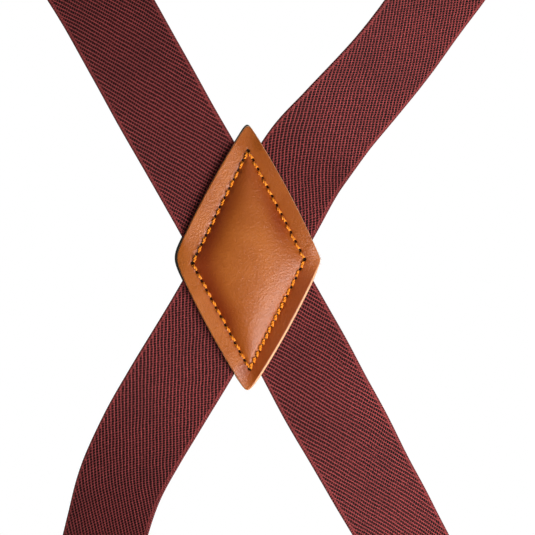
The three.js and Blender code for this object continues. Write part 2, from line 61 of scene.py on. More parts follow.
WEB_WIDTH, WEB_THICK = 35.0, 1.3
GAP = 0.3
PATCH_Z = -210.0
LINING_Y = -106.0
LINING_THICK = 1.0
SHOULDER_X, FRONT_X, CHEST_Y = 118.0, 136.0, 112.0
LOOP_RADIUS = 2.8
REAR_BAR_Z, FRONT_BAR_Z = -462.0, -452.0
REAR_LOOP_TOP, FRONT_LOOP_TOP = 45.0, 22.0
REAR_LAYER = WEB_THICK / 2 + GAP / 2
RING_DROP = 11.0
ADJUSTER_UP = 130.0
TAIL_BAR_Z = -7.0
TAIL_TURN = 0.8 + GAP + WEB_THICK / 2
REAR_YAW, FRONT_YAW = 16.0, 18.0
UNDER_STRAP_Y = LINING_Y - LINING_THICK - GAP - WEB_THICK / 2
OVER_STRAP_Y = UNDER_STRAP_Y - WEB_THICK - GAP

# ---- meshes ----


def new_object(name, points, faces, look, uv=None, attributes=()):
    """A mesh object from points in millimetres; uv is one pair for each point."""
    mesh = bpy.data.meshes.new(name)
    places = [tuple(p) for p in np.asarray(points, float) * MM]
    mesh.from_pydata(places, [], [tuple(f) for f in faces])
    if uv is not None:
        layer = mesh.uv_layers.new(name="strap")
        corner = np.empty(len(mesh.loops), np.int32)
        mesh.loops.foreach_get("vertex_index", corner)
        layer.data.foreach_set("uv", np.asarray(uv, np.float32)[corner].ravel())
    for label, values in dict(attributes).items():
        layer = mesh.attributes.new(label, "FLOAT", "POINT")
        layer.data.foreach_set("value", np.asarray(values, np.float32))
    mesh.polygons.foreach_set("use_smooth", np.full(len(mesh.polygons), True))
    mesh.materials.append(look)
    mesh.update()
    made = bpy.data.objects.new(name, mesh)
    bpy.context.scene.collection.objects.link(made)
    return made


def grid_faces(rows, columns, wrap=True, flip=False):
    """Quads over a grid of points; wrap closes each row into a ring."""
    faces = []
    for r in range(rows - 1):
        for c in range(columns if wrap else columns - 1):
            d = (c + 1) % columns
            a, b = r * columns, (r + 1) * columns
            quad = (a + c, a + d, b + d, b + c)
            faces.append(quad[::-1] if flip else quad)
    return faces


def capped(rows, columns, flip=False):
    """Quads over rings of points, and a face across the first ring and the last."""
    first = tuple(range(columns))
    last = tuple(range((rows - 1) * columns, rows * columns))
    ends = [first, last[::-1]] if flip else [first[::-1], last]
    return grid_faces(rows, columns, flip=flip) + ends


def fan(tip, first, columns, flip=False):
    """Triangles from a tip to the ring of points that starts at first."""
    sides = [(tip, first + c, first + (c + 1) % columns) for c in range(columns)]
    return [(t, b, a) for t, a, b in sides] if flip else sides


def settle(piece, body, slot, *nodes):
    """The piece moves with the body, if one is named, and the named CAD nodes are hidden."""
    if body:
        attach(piece, body)
    if nodes:
        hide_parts(*nodes)


def smoothstep(low, high, value):
    t = np.clip((value - low) / (high - low), 0, 1)
    return t * t * (3 - 2 * t)


# ---- materials ----


class Wire:
    """A node output that can be added, multiplied and so on."""

    def __init__(self, look, socket):
        self.look, self.socket = look, socket

    def __add__(self, other):
        return self.look.math("ADD", self, other)

    def __sub__(self, other):
        return self.look.math("SUBTRACT", self, other)

    def __rsub__(self, other):
        return self.look.math("SUBTRACT", other, self)

    def __mul__(self, other):
        return self.look.math("MULTIPLY", self, other)

    def wave(self):
        """1 at whole numbers and 0 halfway between them."""
        return self.look.math("COSINE", self * TURN) * 0.5 + 0.5

    def step(self, low, high):
        return self.look.map_range(self, low, high, 0.0, 1.0)


class Look:
    """A procedural material built up on one Principled shader."""

    def __init__(self, name, **shader):
        self.material = bpy.data.materials.new(name)
        self.material.use_nodes = True
        self.nodes = self.material.node_tree.nodes
        self.nodes.clear()
        output = self.nodes.new("ShaderNodeOutputMaterial")
        self.shader = self.nodes.new("ShaderNodeBsdfPrincipled")
        self.material.node_tree.links.new(self.shader.outputs[0], output.inputs[0])
        for socket, value in shader.items():
            self.shader.inputs[socket.replace("_", " ")].default_value = value

    def put(self, socket, value):
        if isinstance(value, Wire):
            self.material.node_tree.links.new(value.socket, socket)
        elif isinstance(value, (tuple, list)) and len(value) == 3 and socket.type == "RGBA":
            socket.default_value = (*value, 1)
        else:
            socket.default_value = value

    def node(self, kind, inputs, output=0, **settings):
        made = self.nodes.new("ShaderNode" + kind)
        for key, value in settings.items():
            setattr(made, key, value)
        for key, value in inputs.items():
            self.put(made.inputs[key], value)
        return Wire(self, made.outputs[output])

    def math(self, operation, *values):
        return self.node("Math", dict(enumerate(values)), operation=operation)

    def map_range(self, value, low, high, start, end):
        inputs = {"Value": value, "From Min": low, "From Max": high}
        inputs |= {"To Min": start, "To Max": end}
        return self.node("MapRange", inputs, interpolation_type="SMOOTHSTEP")

    def mix(self, share, first, second):
        return self.node("Mix", {0: share, 6: first, 7: second}, output=2, data_type="RGBA")

    def noise(self, where, scale, detail=2.0, roughness=0.5):
        inputs = {"Vector": where, "Scale": scale, "Detail": detail, "Roughness": roughness}
        return self.node("TexNoise", inputs)

    def cells(self, where, scale, feature="F1"):
        return self.node("TexVoronoi", {"Vector": where, "Scale": scale}, feature=feature)

    def attribute(self, name):
        return self.node("Attribute", {}, output=2, attribute_name=name)

    def millimetres(self):
        """The point on the object, in millimetres."""
        place = self.node("TexCoord", {}, output=3)
        return self.node("VectorMath", {0: place, "Scale": 1 / MM}, operation="SCALE")

    def split(self, vector):
        made = self.nodes.new("ShaderNodeSeparateXYZ")
        self.put(made.inputs[0], vector)
        return [Wire(self, output) for output in made.outputs]

    def join(self, x, y, z=0.0):
        return self.node("CombineXYZ", {0: x, 1: y, 2: z})

    def finish(self, colour, roughness, height=None, depth=0.1):
        """Sets the colour, the roughness and a relief of that depth in millimetres."""
        self.put(self.shader.inputs["Base Color"], colour)
        self.put(self.shader.inputs["Roughness"], roughness)
        if height is not None:
            bump = self.node("Bump", {"Height": height, "Distance": depth * MM, "Strength": 1.0})
            self.put(self.shader.inputs["Normal"], bump)
        return self.material


def webbing_look():
    """Burgundy elastic: twill ribs lean 30 degrees off the strap, and the gaps between them are
    darkened to near-black as painted shade, in rows of dots."""
    RIB, DOT = 1.3, 0.92
    look = Look("webbing", Specular_IOR_Level=0.2, Sheen_Weight=0.08, Sheen_Roughness=0.5)
    look.shader.inputs["Sheen Tint"].default_value = (0.75, 0.3, 0.32, 1)
    place = look.node("UVMap", {}, uv_map="strap")
    across, along, _ = look.split(place)
    flat = look.join(across, along)
    drift = look.noise(flat, 0.09, 3.0) - 0.5
    lean, cross = math.radians(30), math.radians(41)
    ribs = (across * math.cos(lean) - along * math.sin(lean)) * (1 / RIB)
    ribs = ribs + drift * 0.8
    dots = (along * math.cos(cross) + across * math.sin(cross)) * (1 / DOT)
    dots = dots + (look.noise(flat, 0.2, 2.0) - 0.5) * 0.6
    rib = ribs.wave()
    thread = dots.wave()
    uneven = look.noise(flat, 1.2, 2.0)
    # Painted shade: the hollows between the ribs, and the notches at the selvedge, are darkened
    # towards near-black.
    hollow_shade = (1.0 - rib).step(0.04, 0.42) * (thread.step(0.1, 0.7) * 0.6 + 0.5)
    hollow_shade = hollow_shade * (uneven * 2.1 + 0.15) + thread.step(0.4, 1.0) * uneven * 0.4
    edge = look.math("ABSOLUTE", across)
    selvedge = edge.step(15.9, 16.5)
    notch = (along * (1 / 0.95) + edge * 0.5).wave()
    edge_hollow = notch * edge.step(16.2, 17.3) * 0.85 + 0.15
    hollow_shade = hollow_shade * (1.0 - selvedge) + edge_hollow * selvedge
    hollow_shade = look.math("MINIMUM", hollow_shade, 1.0)
    fuzz = look.noise(flat, 3.0, 3.0, 0.7)
    yarn = look.mix(fuzz.step(0.25, 0.75), (0.10, 0.0138, 0.0134), (0.565, 0.092, 0.091))
    yarn = look.mix(look.noise(flat, 0.05, 2.0).step(0.3, 0.8) * 0.4, yarn, (0.2, 0.036, 0.036))
    # The near-black is painted shade in the hollows.
    colour = look.mix(hollow_shade, yarn, (0.003, 0.0011, 0.0013))
    height = rib * 0.6 + (1.0 - thread) * 0.25 + fuzz * 0.15
    return look.finish(colour, fuzz * 0.15 + 0.78, height, 0.3)


def leather_look():
    """Smooth cognac leather with a fine grain, darker where a mesh attribute asks: partly
    burnishing where the leather is under strain, partly painted shade on the slopes turned from the
    key light, on the lower right rim and in the valley at the seam.
    """
    look = Look("patch_leather", Specular_IOR_Level=0.45)
    place = look.millimetres()
    cut = look.attribute("cut")
    burnish_and_shade = look.attribute("burnish_and_shade")
    mottle = look.noise(place, 0.09, 4.0, 0.6)
    cloud = look.noise(place, 0.9, 3.0, 0.6)
    pores = look.cells(place, 2.2).step(0.0, 0.3)
    tan = look.mix(mottle.step(0.3, 0.7), (0.385, 0.092, 0.006), (0.46, 0.122, 0.012))
    tan = look.mix(cloud * 0.3, tan, (0.35, 0.08, 0.005))
    # Partly burnishing, partly painted shade: the mesh attribute pulls the leather towards this
    # dark red-brown.
    tan = look.mix(burnish_and_shade * (cloud * 0.3 + 0.85), tan, (0.225, 0.029, 0.0001))
    tan = look.mix((1.0 - pores) * 0.3, tan, (0.16, 0.03, 0.002))
    edge = look.mix(look.noise(place, 3.0, 3.0), (0.62, 0.29, 0.13), (0.88, 0.54, 0.31))
    colour = look.mix(cut, tan, edge)
    grain = look.cells(place, 1.3, "SMOOTH_F1") * 0.7 + look.noise(place, 3.0, 4.0, 0.6) * 0.6
    x, y, z = look.split(place)
    creases = look.noise(look.join(x * 0.35, y * 1.0, z * 1.1), 0.8, 4.0)
    height = grain + creases * 0.45 + pores * 0.25
    roughness = cloud * 0.08 + cut * 0.3 + 0.34
    return look.finish(colour, roughness, height, 0.15)


def suede_look(name, dark, light, depth=0.12):
    look = Look(name, Specular_IOR_Level=0.2, Sheen_Weight=0.3, Sheen_Roughness=0.6)
    place = look.millimetres()
    nap = look.noise(place, 3.0, 4.0, 0.7)
    patches = look.noise(place, 0.25, 2.0)
    colour = look.mix(nap * 0.6 + patches * 0.4, dark, light)
    return look.finish(colour, nap * 0.1 + 0.85, nap, depth)


def thread_look(name, dark, light):
    """Waxed thread: the plies' twist shows as fine slanting grooves."""
    look = Look(name, Specular_IOR_Level=0.4, Sheen_Weight=0.2, Sheen_Roughness=0.4)
    place = look.millimetres()
    fibre = look.noise(place, 6.0, 3.0, 0.7)
    along, _, up = look.split(place)
    groove_and_shade = (along * 2.1 + up * 1.3).wave()
    # Painted shade: the colour is darker in the grooves between the plies, where the relief is low.
    colour = look.mix(fibre * 0.6 + groove_and_shade * 0.3, dark, light)
    return look.finish(colour, fibre * 0.2 + 0.45, groove_and_shade * 0.5 + fibre * 0.5, 0.06)


def brass_look():
    """Polished brass with a faint brushing, soft tarnish and fine scratches."""
    look = Look("brass", Metallic=1.0)
    place = look.millimetres()
    x, y, z = look.split(place)
    brushed = look.noise(look.join(x * 0.15, y * 3.0, z * 3.0), 1.5, 3.0, 0.6)
    tarnish = look.noise(place, 0.12, 4.0, 0.6).step(0.45, 0.75)
    scratch = look.noise(look.join(x * 2.0 + z * 1.5, y * 0.2, z * 0.3), 1.2, 2.0).step(0.66, 0.72)
    colour = look.mix(brushed, (0.60, 0.40, 0.16), (0.78, 0.57, 0.27))
    colour = look.mix(tarnish * 0.45, colour, (0.36, 0.22, 0.09))
    roughness = brushed * 0.12 + tarnish * 0.16 + scratch * 0.1 + 0.36
    return look.finish(colour, roughness, brushed + scratch * 0.6, 0.012)


def rubber_look():
    look = Look("grip_rubber", Specular_IOR_Level=0.35)
    place = look.millimetres()
    speckle = look.noise(place, 5.0, 4.0, 0.7)
    dust = look.noise(place, 0.5, 3.0).step(0.5, 0.8)
    colour = look.mix(dust * 0.5, (0.012, 0.012, 0.013), (0.05, 0.048, 0.045))
    return look.finish(colour, speckle * 0.2 + 0.6, speckle, 0.03)


def hole_shade_look():
    look = Look("needle_hole_shade", Specular_IOR_Level=0.1)
    pit_shade_noise = look.noise(look.millimetres(), 4.0, 2.0)
    # Painted shade: the pits are coloured near-black for the shade inside them.
    colour = look.mix(pit_shade_noise, (0.004, 0.002, 0.001), (0.03, 0.01, 0.003))
    return look.finish(colour, pit_shade_noise * 0.1 + 0.85)


WEBBING = webbing_look()
LEATHER = leather_look()
LINING = suede_look("patch_lining", (0.03, 0.03, 0.026), (0.16, 0.15, 0.125))
FELT = suede_look("patch_padding", (0.5, 0.46, 0.38), (0.78, 0.74, 0.64), 0.3)
GOLD = thread_look("gold_thread", (0.80, 0.16, 0.0004), (1.0, 0.40, 0.004))
WINE = thread_look("wine_thread", (0.07, 0.018, 0.02), (0.27, 0.07, 0.075))
BRASS = brass_look()
RUBBER = rubber_look()
HOLE = hole_shade_look()

# ---- webbing ----


def through(points, place):
    """A centripetal Catmull-Rom curve through the points, at fractional point numbers."""
    points = np.asarray(points, float)
    row = np.vstack([2 * points[0] - points[1], points, 2 * points[-1] - points[-2]])
    i = np.clip(np.floor(place).astype(int), 0, len(points) - 2)
    a, b, c, d = (row[i + k] for k in range(4))
    w = (place - i)[:, None]
    root = [np.sqrt(np.linalg.norm(q - p, axis=1))[:, None] for p, q in ((a, b), (b, c), (c, d))]
    leave = root[1] * ((b - a) / root[0] - (c - a) / (root[0] + root[1]) + (c - b) / root[1])
    arrive = root[1] * ((c - b) / root[1] - (d - b) / (root[1] + root[2]) + (d - c) / root[2])
    second = 3 * c - 3 * b - 2 * leave - arrive
    return b + leave * w + second * w**2 + (2 * b - 2 * c + leave + arrive) * w**3


def blended(points, place):
    """The same rows of numbers eased with Catmull-Rom weights, for directions."""
    points = np.asarray(points, float)
    row = np.vstack([points[0], points, points[-1]])
    i = np.clip(np.floor(place).astype(int), 0, len(points) - 2)
    a, b, c, d = (row[i + k] for k in range(4))
    w = (place - i)[:, None]
    return b + 0.5 * w * (c - a + w * (2 * a - 5 * b + 4 * c - d + w * (3 * (b - c) + d - a)))


def unit(rows):
    return rows / np.linalg.norm(rows, axis=1, keepdims=True)


def web_section():
    """The webbing's cut end, as (across, outward) pairs round it: flat faces and
    rounded selvedges."""
    CORNER, SHOULDER = 0.55, 1.6
    half, up = WEB_WIDTH / 2, WEB_THICK / 2
    flat = np.linspace(-half + SHOULDER, half - SHOULDER, 15)
    bend = np.radians(np.linspace(90, -90, 9))
    right = [(half - CORNER + CORNER * math.cos(t), up * math.sin(t)) for t in bend]
    top = [(x, up) for x in flat]
    ring = top + right + [(x, -up) for x in flat[::-1]] + [(-x, -y) for x, y in right]
    return np.array(ring)


SECTION = web_section()
STEP = 1.6


class Route:
    """A webbing's middle line through stations of (point, outward direction)."""

    def __init__(self, stations):
        self.points = [np.array(s[0], float) for s in stations]
        self.outward = [np.array(s[1], float) / np.linalg.norm(s[1]) for s in stations]
        dense = np.linspace(0, len(stations) - 1, 60 * len(stations))
        run = through(self.points, dense)
        length = np.concatenate([[0], np.cumsum(np.linalg.norm(np.diff(run, axis=0), axis=1))])
        self.dense, self.length = dense, length

    def arc(self, station):
        return np.interp(station, self.dense, self.length)

    def frames(self, first, last, step):
        """The middle line's points from station to station, the outward and sideways
        directions there and the distances along it."""
        low, high = self.arc(first), self.arc(last)
        distance = np.linspace(low, high, max(3, int((high - low) / step)))
        place = np.interp(distance, self.length, self.dense)
        nudge = 1e-3
        ahead = np.clip(place + nudge, 0, len(self.points) - 1)
        behind = np.clip(place - nudge, 0, len(self.points) - 1)
        along = unit(through(self.points, ahead) - through(self.points, behind))
        outward = blended(self.outward, place)
        outward = unit(outward - (outward * along).sum(1, keepdims=True) * along)
        across = np.cross(outward, along)
        return through(self.points, place), outward, across, distance


def web_strip(name, route, first, last, step=STEP, ripple=0.12):
    """A closed strip of webbing with a slight ripple in its face and its edges."""
    middle, outward, across, distance = route.frames(first, last, step)
    sideways, lift = SECTION[:, 0], SECTION[:, 1]
    wobble = ripple * (np.sin(distance / 11.3) + 0.6 * np.sin(distance / 4.7 + 1.3))
    wobble = wobble[:, None, None]
    edge = (np.abs(sideways) / (WEB_WIDTH / 2)) ** 4
    spread = sideways[None, :, None] + np.sign(sideways)[None, :, None] * 0.4 * wobble
    raised = lift[None, :, None] + edge[None, :, None] * wobble
    points = middle[:, None] + across[:, None] * spread + outward[:, None] * raised
    uv = np.stack(np.broadcast_arrays(sideways[None, :], distance[:, None]), axis=-1)
    faces = capped(*points.shape[:2])
    return new_object(name, points.reshape(-1, 3), faces, WEBBING, uv.reshape(-1, 2))


# ---- the four ends of the straps ----


class End:
    """The frame of a strap's end: x across the webbing, -y away from the wearer, with
    the clip ring's upper bar as its origin."""

    def __init__(self, x, y, z, degrees):
        turn = math.radians(degrees)
        self.origin = np.array([x, y, z], float)
        self.x = np.array([math.cos(turn), math.sin(turn), 0])
        self.y = np.array([-math.sin(turn), math.cos(turn), 0])

    def direction(self, x, y, z):
        return x * self.x + y * self.y + np.array([0, 0, z])

    def place(self, points):
        return self.origin + self.aim(np.asarray(points, float).reshape(-1, 3))

    def aim(self, rows):
        """Directions in the row frame."""
        return rows[:, :1] * self.x + rows[:, 1:2] * self.y + rows[:, 2:] * [[0, 0, 1]]

    def station(self, y, z, *outward):
        outward = outward or (-1, 0)
        return self.place([(0, y, z)])[0], self.direction(0, *outward)


ENDS = {
    "rear_left": End(-78, -94, REAR_BAR_Z, -REAR_YAW),
    "rear_right": End(82, -94, REAR_BAR_Z, REAR_YAW),
    "front_left": End(-FRONT_X, CHEST_Y - LOOP_RADIUS, FRONT_BAR_Z, 180 + FRONT_YAW),
    "front_right": End(FRONT_X, CHEST_Y - LOOP_RADIUS, FRONT_BAR_Z, 180 - FRONT_YAW),
}


def on_back(x, up, y, *outward):
    return (x, y, PATCH_Z + up), outward


def over_shoulder(side, end):
    arch = [
        (-9, -60, -33, 0.24, -0.72, 0.7),
        (-2.5, -31, -9, 0.22, -0.4, 0.9),
        (0, 0, 0, 0.2, 0, 1),
        (4, 31, -8, 0.2, 0.38, 0.9),
        (9, 62, -33, 0.22, 0.7, 0.7),
        (13.5, 87, -68, 0.25, 0.88, 0.45),
        (16.5, 102, -105, 0.28, 0.93, 0.25),
        (18, 109, -140, 0.31, 0.94, 0.1),
    ]
    stations = [((side * (SHOULDER_X + w), y, z), (side * a, b, c)) for w, y, z, a, b, c in arch]
    for z in (-172, -200, -290, FRONT_BAR_Z + FRONT_LOOP_TOP):
        stations.append(end.station(-LOOP_RADIUS, z - FRONT_BAR_Z))
    return stations


def rear_start(end):
    return [end.station(-REAR_LAYER, REAR_LOOP_TOP), end.station(-REAR_LAYER, REAR_LOOP_TOP + 16)]


LEFT = Route(
    rear_start(ENDS["rear_right"])
    + [
        on_back(76.5, -155, -99, 0.36, -0.93, 0),
        on_back(69, -128, -101.8, 0.42, -0.9, 0),
        on_back(56.5, -101.5, -104.8, 0.43, -0.9, 0),
        on_back(46.5, -83.5, -106.8, 0.35, -0.94, 0),
        on_back(37.5, -67, -108.3, 0.22, -0.97, 0),
        on_back(29, -52, -109.4, 0.06, -1, 0),
        on_back(20.5, -36, OVER_STRAP_Y, 0, -1, 0),
        on_back(8.5, -15, OVER_STRAP_Y, 0, -1, 0),
        on_back(-14, 24.5, OVER_STRAP_Y, 0, -1, 0),
        on_back(-20.5, 36, OVER_STRAP_Y, 0, -1, 0),
        on_back(-30, 52.5, -109.3, 0, -1, 0),
        on_back(-42.5, 75, -107.6, -0.04, -1, 0.08),
        on_back(-55.5, 98, -104.2, -0.1, -0.98, 0.2),
        ((-72, -97, -86), (-0.18, -0.9, 0.36)),
        ((-91, -81, -59), (-0.22, -0.8, 0.55)),
    ]
    + over_shoulder(-1, ENDS["front_left"])
)
RIGHT = Route(
    rear_start(ENDS["rear_left"])
    + [
        on_back(-67.5, -155, -98.6, -0.37, -0.93, 0),
        on_back(-59.5, -128, -100.8, -0.43, -0.9, 0),
        on_back(-53.5, -102, -103.2, -0.45, -0.89, 0),
        on_back(-48, -84, -104.9, -0.36, -0.93, 0),
        on_back(-40, -68, -106.4, -0.23, -0.97, 0),
        on_back(-31, -52.5, -107.8, -0.07, -1, 0),
        on_back(-21, -36, UNDER_STRAP_Y, 0, -1, 0),
        on_back(-8.5, -15, UNDER_STRAP_Y, 0, -1, 0),
        on_back(11, 19, UNDER_STRAP_Y, 0, -1, 0),
        on_back(21, 36.5, UNDER_STRAP_Y, 0, -1, 0),
        on_back(33.5, 52, -108, 0.26, -0.93, -0.22),
        on_back(54, 75.5, -106.2, 0.37, -0.88, -0.28),
        on_back(70.5, 98, -103.2, 0.4, -0.87, -0.22),
        ((87, -96.5, -86), (0.38, -0.86, 0.08)),
        ((98.5, -81, -59), (0.3, -0.8, 0.45)),
    ]
    + over_shoulder(1, ENDS["front_right"])
)
UNDER_PATCH = 9
CHEST_END = 26


def build_strap(side, route, rear_end):
    last = len(route.points) - 1
    body = web_strip(f"{side}_back_webbing", route, UNDER_PATCH, CHEST_END)
    hidden = [f"{side}_{part}_strap" for part in ("back", "shoulder", "chest")]
    settle(body, "root", "webbing", *hidden)
    drops = (
        ("rear", 0, UNDER_PATCH, rear_end, -105, PATCH_Z - 52, REAR_BAR_Z + REAR_LOOP_TOP),
        ("front", CHEST_END, last, f"front_{side}", CHEST_Y, -200, FRONT_BAR_Z + FRONT_LOOP_TOP),
    )
    for part, first, last, end, y, top, bottom in drops:
        piece = web_strip(f"{side}_{part}_webbing", route, first, last)
        settle(piece, None, "webbing", f"{side}_{part}_drop")
        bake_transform(piece)


build_strap("left", LEFT, "rear_right")
build_strap("right", RIGHT, "rear_left")

# ---- crosspatch ----

# Corners round the patch from its centre, as (across, up): top, right, bottom, left.
OUTLINE = np.array([(0.0, 51.4), (27.5, -0.3), (-0.2, -50.6), (-27.7, 0.3)])
CORNER_SOFTNESS = (1.7, 1.0, 1.7, 2.8)
SEAM = np.array([(0.1, 40.8), (21.4, -0.2), (0.6, -41.5), (-20.9, -1.6)])
SIDE_BULGE = 1.25
VALLEY, CROWN, RIM = 5.3, 3.9, 6.5  # heights of the leather's face over the lining's back
LEATHER_THICK = 1.2
AROUND = 480


def side_directions(a, b):
    """Unit directions along a side of the patch and out from it."""
    along = (b - a) / np.linalg.norm(b - a)
    outward = np.array([-along[1], along[0]])
    return along, outward * np.sign(outward @ (a + b))


def closed_line(corners, bulge, softness):
    """Points round a four-cornered figure with full sides and softened corners."""
    side = AROUND // 4
    t = np.arange(side)[:, None] / side
    line = []
    for k in range(4):
        a, b = corners[k], corners[(k + 1) % 4]
        _, outward = side_directions(a, b)
        line.append(a + (b - a) * t + outward * bulge * 4 * t * (1 - t))
    line = np.vstack(line)
    reach = np.arange(-30, 31)
    weights = np.exp(-0.5 * (reach * (200 / AROUND) / softness) ** 2)
    weights /= weights.sum()
    return sum(w * np.roll(line, -r, axis=0) for w, r in zip(weights, reach))


NEAREST_CORNER = np.round(np.arange(AROUND) / (AROUND // 4)).astype(int) % 4
ROUNDED = [closed_line(OUTLINE, SIDE_BULGE, w) for w in CORNER_SOFTNESS]
OUTER = np.choose(NEAREST_CORNER[:, None], ROUNDED)
SEWN = closed_line(SEAM, 0.15, 0.35)
CENTRE = SEAM.mean(0)


def band_gap(x, up, lean):
    """How far a point lies outside a strap that leans that many degrees."""
    turn = math.radians(lean)
    return np.abs(x * math.cos(turn) + up * math.sin(turn)) - WEB_WIDTH / 2


DEEPEST = 1.3
BRIDGE = 8.0  # the cover spans softly between the straps over this width


def dip(x, up):
    """How far the cover sinks towards the lining where no strap lies under it."""
    first, second = band_gap(x, up, 30), band_gap(x, up, -32)
    share = np.clip(0.5 + 0.5 * (second - first) / BRIDGE, 0, 1)
    bare = second + (first - second) * share - BRIDGE * share * (1 - share)
    return DEEPEST * smoothstep(-0.6, 7.0, bare)


PER_SIDE = 12
OVERLAP_FROM = 4  # on the lower right side the seam's end is sewn closer from here on
OVERLAP_STITCHES = 12


def stitch_holes():
    """Needle holes along each side of the seam, as (across, up)."""
    even = np.arange(PER_SIDE + 1) / PER_SIDE
    close = np.linspace(OVERLAP_FROM / PER_SIDE, 1, OVERLAP_STITCHES + 1)
    rows = []
    for k in range(4):
        a, b = SEAM[k], SEAM[(k + 1) % 4]
        shares = np.concatenate([even[:OVERLAP_FROM], close]) if k == 1 else even
        rows.append([a + (b - a) * t for t in shares])
    return rows


HOLES = stitch_holes()
HOLE_POINTS = np.vstack([row[:-1] for row in HOLES])


FILL_CELLS = 24


def between(a, b):
    """The point at two shares, from 0 to 1, between the seam's sides."""
    top, right, bottom, left = SEAM
    a, b = a[..., None], b[..., None]
    return top + a * (right - top) + b * (left - top) + a * b * (top - right + bottom - left)


def seam_share(x, up):
    """Where a point lies between the seam's sides: two shares from 0 to 1."""
    top, right, bottom, left = SEAM
    point = np.stack([x, up], -1)
    p, q, r = right - top, left - top, top - right + bottom - left
    a = b = np.full(np.shape(x), 0.5)
    for _ in range(4):
        miss = between(a, b) - point
        da, db = p + b[..., None] * r, q + a[..., None] * r
        area = da[..., 0] * db[..., 1] - da[..., 1] * db[..., 0]
        a = a - (miss[..., 0] * db[..., 1] - miss[..., 1] * db[..., 0]) / area
        b = b - (da[..., 0] * miss[..., 1] - da[..., 1] * miss[..., 0]) / area
    return np.clip(a, 0, 1), np.clip(b, 0, 1)


def felt_fill():
    """The felt's plump shape on a grid between the seam's sides, 1 at its highest."""
    share = np.linspace(0, 1, FILL_CELLS + 1)
    bow = 4 * share * (1 - share)
    return np.outer(bow, bow) ** 0.55


def blown_fill():
    """The same grid after cloth pressure has blown it up, sewn down along the seam."""
    SIM_SCALE = 10.0
    count = FILL_CELLS + 1
    share = np.linspace(0, 1, count)
    a, b = np.meshgrid(share, share, indexing="ij")
    start = felt_fill() * CROWN * 0.55
    points = np.concatenate([between(a, b), start[..., None]], -1).reshape(-1, 3) * SIM_SCALE
    blown = new_object("crown_form", points, grid_faces(count, count, False), LEATHER)
    sewn = blown.vertex_groups.new(name="sewn")
    ends = {0, FILL_CELLS}
    rim = [i for i in range(count * count) if ends & {i // count, i % count}]
    sewn.add(rim, 1.0, "REPLACE")
    cloth = blown.modifiers.new("fill", "CLOTH")
    cloth.settings.vertex_group_mass = "sewn"
    cloth.settings.quality = 10
    cloth.settings.mass = 0.4
    cloth.settings.tension_stiffness = cloth.settings.compression_stiffness = 25
    cloth.settings.bending_stiffness = 4
    cloth.settings.use_pressure = True
    cloth.settings.uniform_pressure_force = 4
    cloth.settings.effector_weights.gravity = 0
    for frame_number in range(1, 21):
        bpy.context.scene.frame_set(frame_number)
    shape = blown.evaluated_get(bpy.context.evaluated_depsgraph_get())
    height = np.array([v.co.z for v in shape.data.vertices]).reshape(count, count)
    bpy.context.scene.frame_set(1)
    bpy.data.objects.remove(blown)
    height = np.abs(height)
    height[[0, -1]] = 0
    height[:, [0, -1]] = 0
    return height / height.max()


FILL = blown_fill()


def smooth_lookup(table, a, b):
    """A square table read between its points with Catmull-Rom weights."""
    padded = np.pad(table, 1, mode="reflect", reflect_type="odd")

    def weights(w):
        return [
            0.5 * (-(w**3) + 2 * w**2 - w),
            0.5 * (3 * w**3 - 5 * w**2 + 2),
            0.5 * (-3 * w**3 + 4 * w**2 + w),
            0.5 * (w**3 - w**2),
        ]

    size = len(table) - 1
    i = np.clip(np.floor(a * size).astype(int), 0, size - 1)
    j = np.clip(np.floor(b * size).astype(int), 0, size - 1)
    along, over = weights(a * size - i), weights(b * size - j)
    return sum(along[m] * over[n] * padded[i + m, j + n] for m in range(4) for n in range(4))


def crown(x, up):
    """The padding's rise over the seam, full in the middle and nil at the seam."""
    return CROWN * smooth_lookup(FILL, *seam_share(x, up))


def pucker(x, up):
    """The leather drawn down round each needle hole."""
    spread = 0.8
    near = [(x - h[0]) ** 2 + (up - h[1]) ** 2 for h in HOLE_POINTS]
    return 0.32 * np.exp(-np.minimum.reduce(near) / spread**2)


def side_weight(points, k):
    """1 along one side of the patch and 0 along the others, soft at the corners."""
    a, b = OUTLINE[k], OUTLINE[(k + 1) % 4]
    along, outward = side_directions(a, b)
    reach = (points - a) @ outward
    share = (points - a) @ along / np.linalg.norm(b - a)
    inside = smoothstep(-0.04, 0.16, share) * smoothstep(1.04, 0.84, share)
    return smoothstep(-9.0, -6.0, reach) * inside


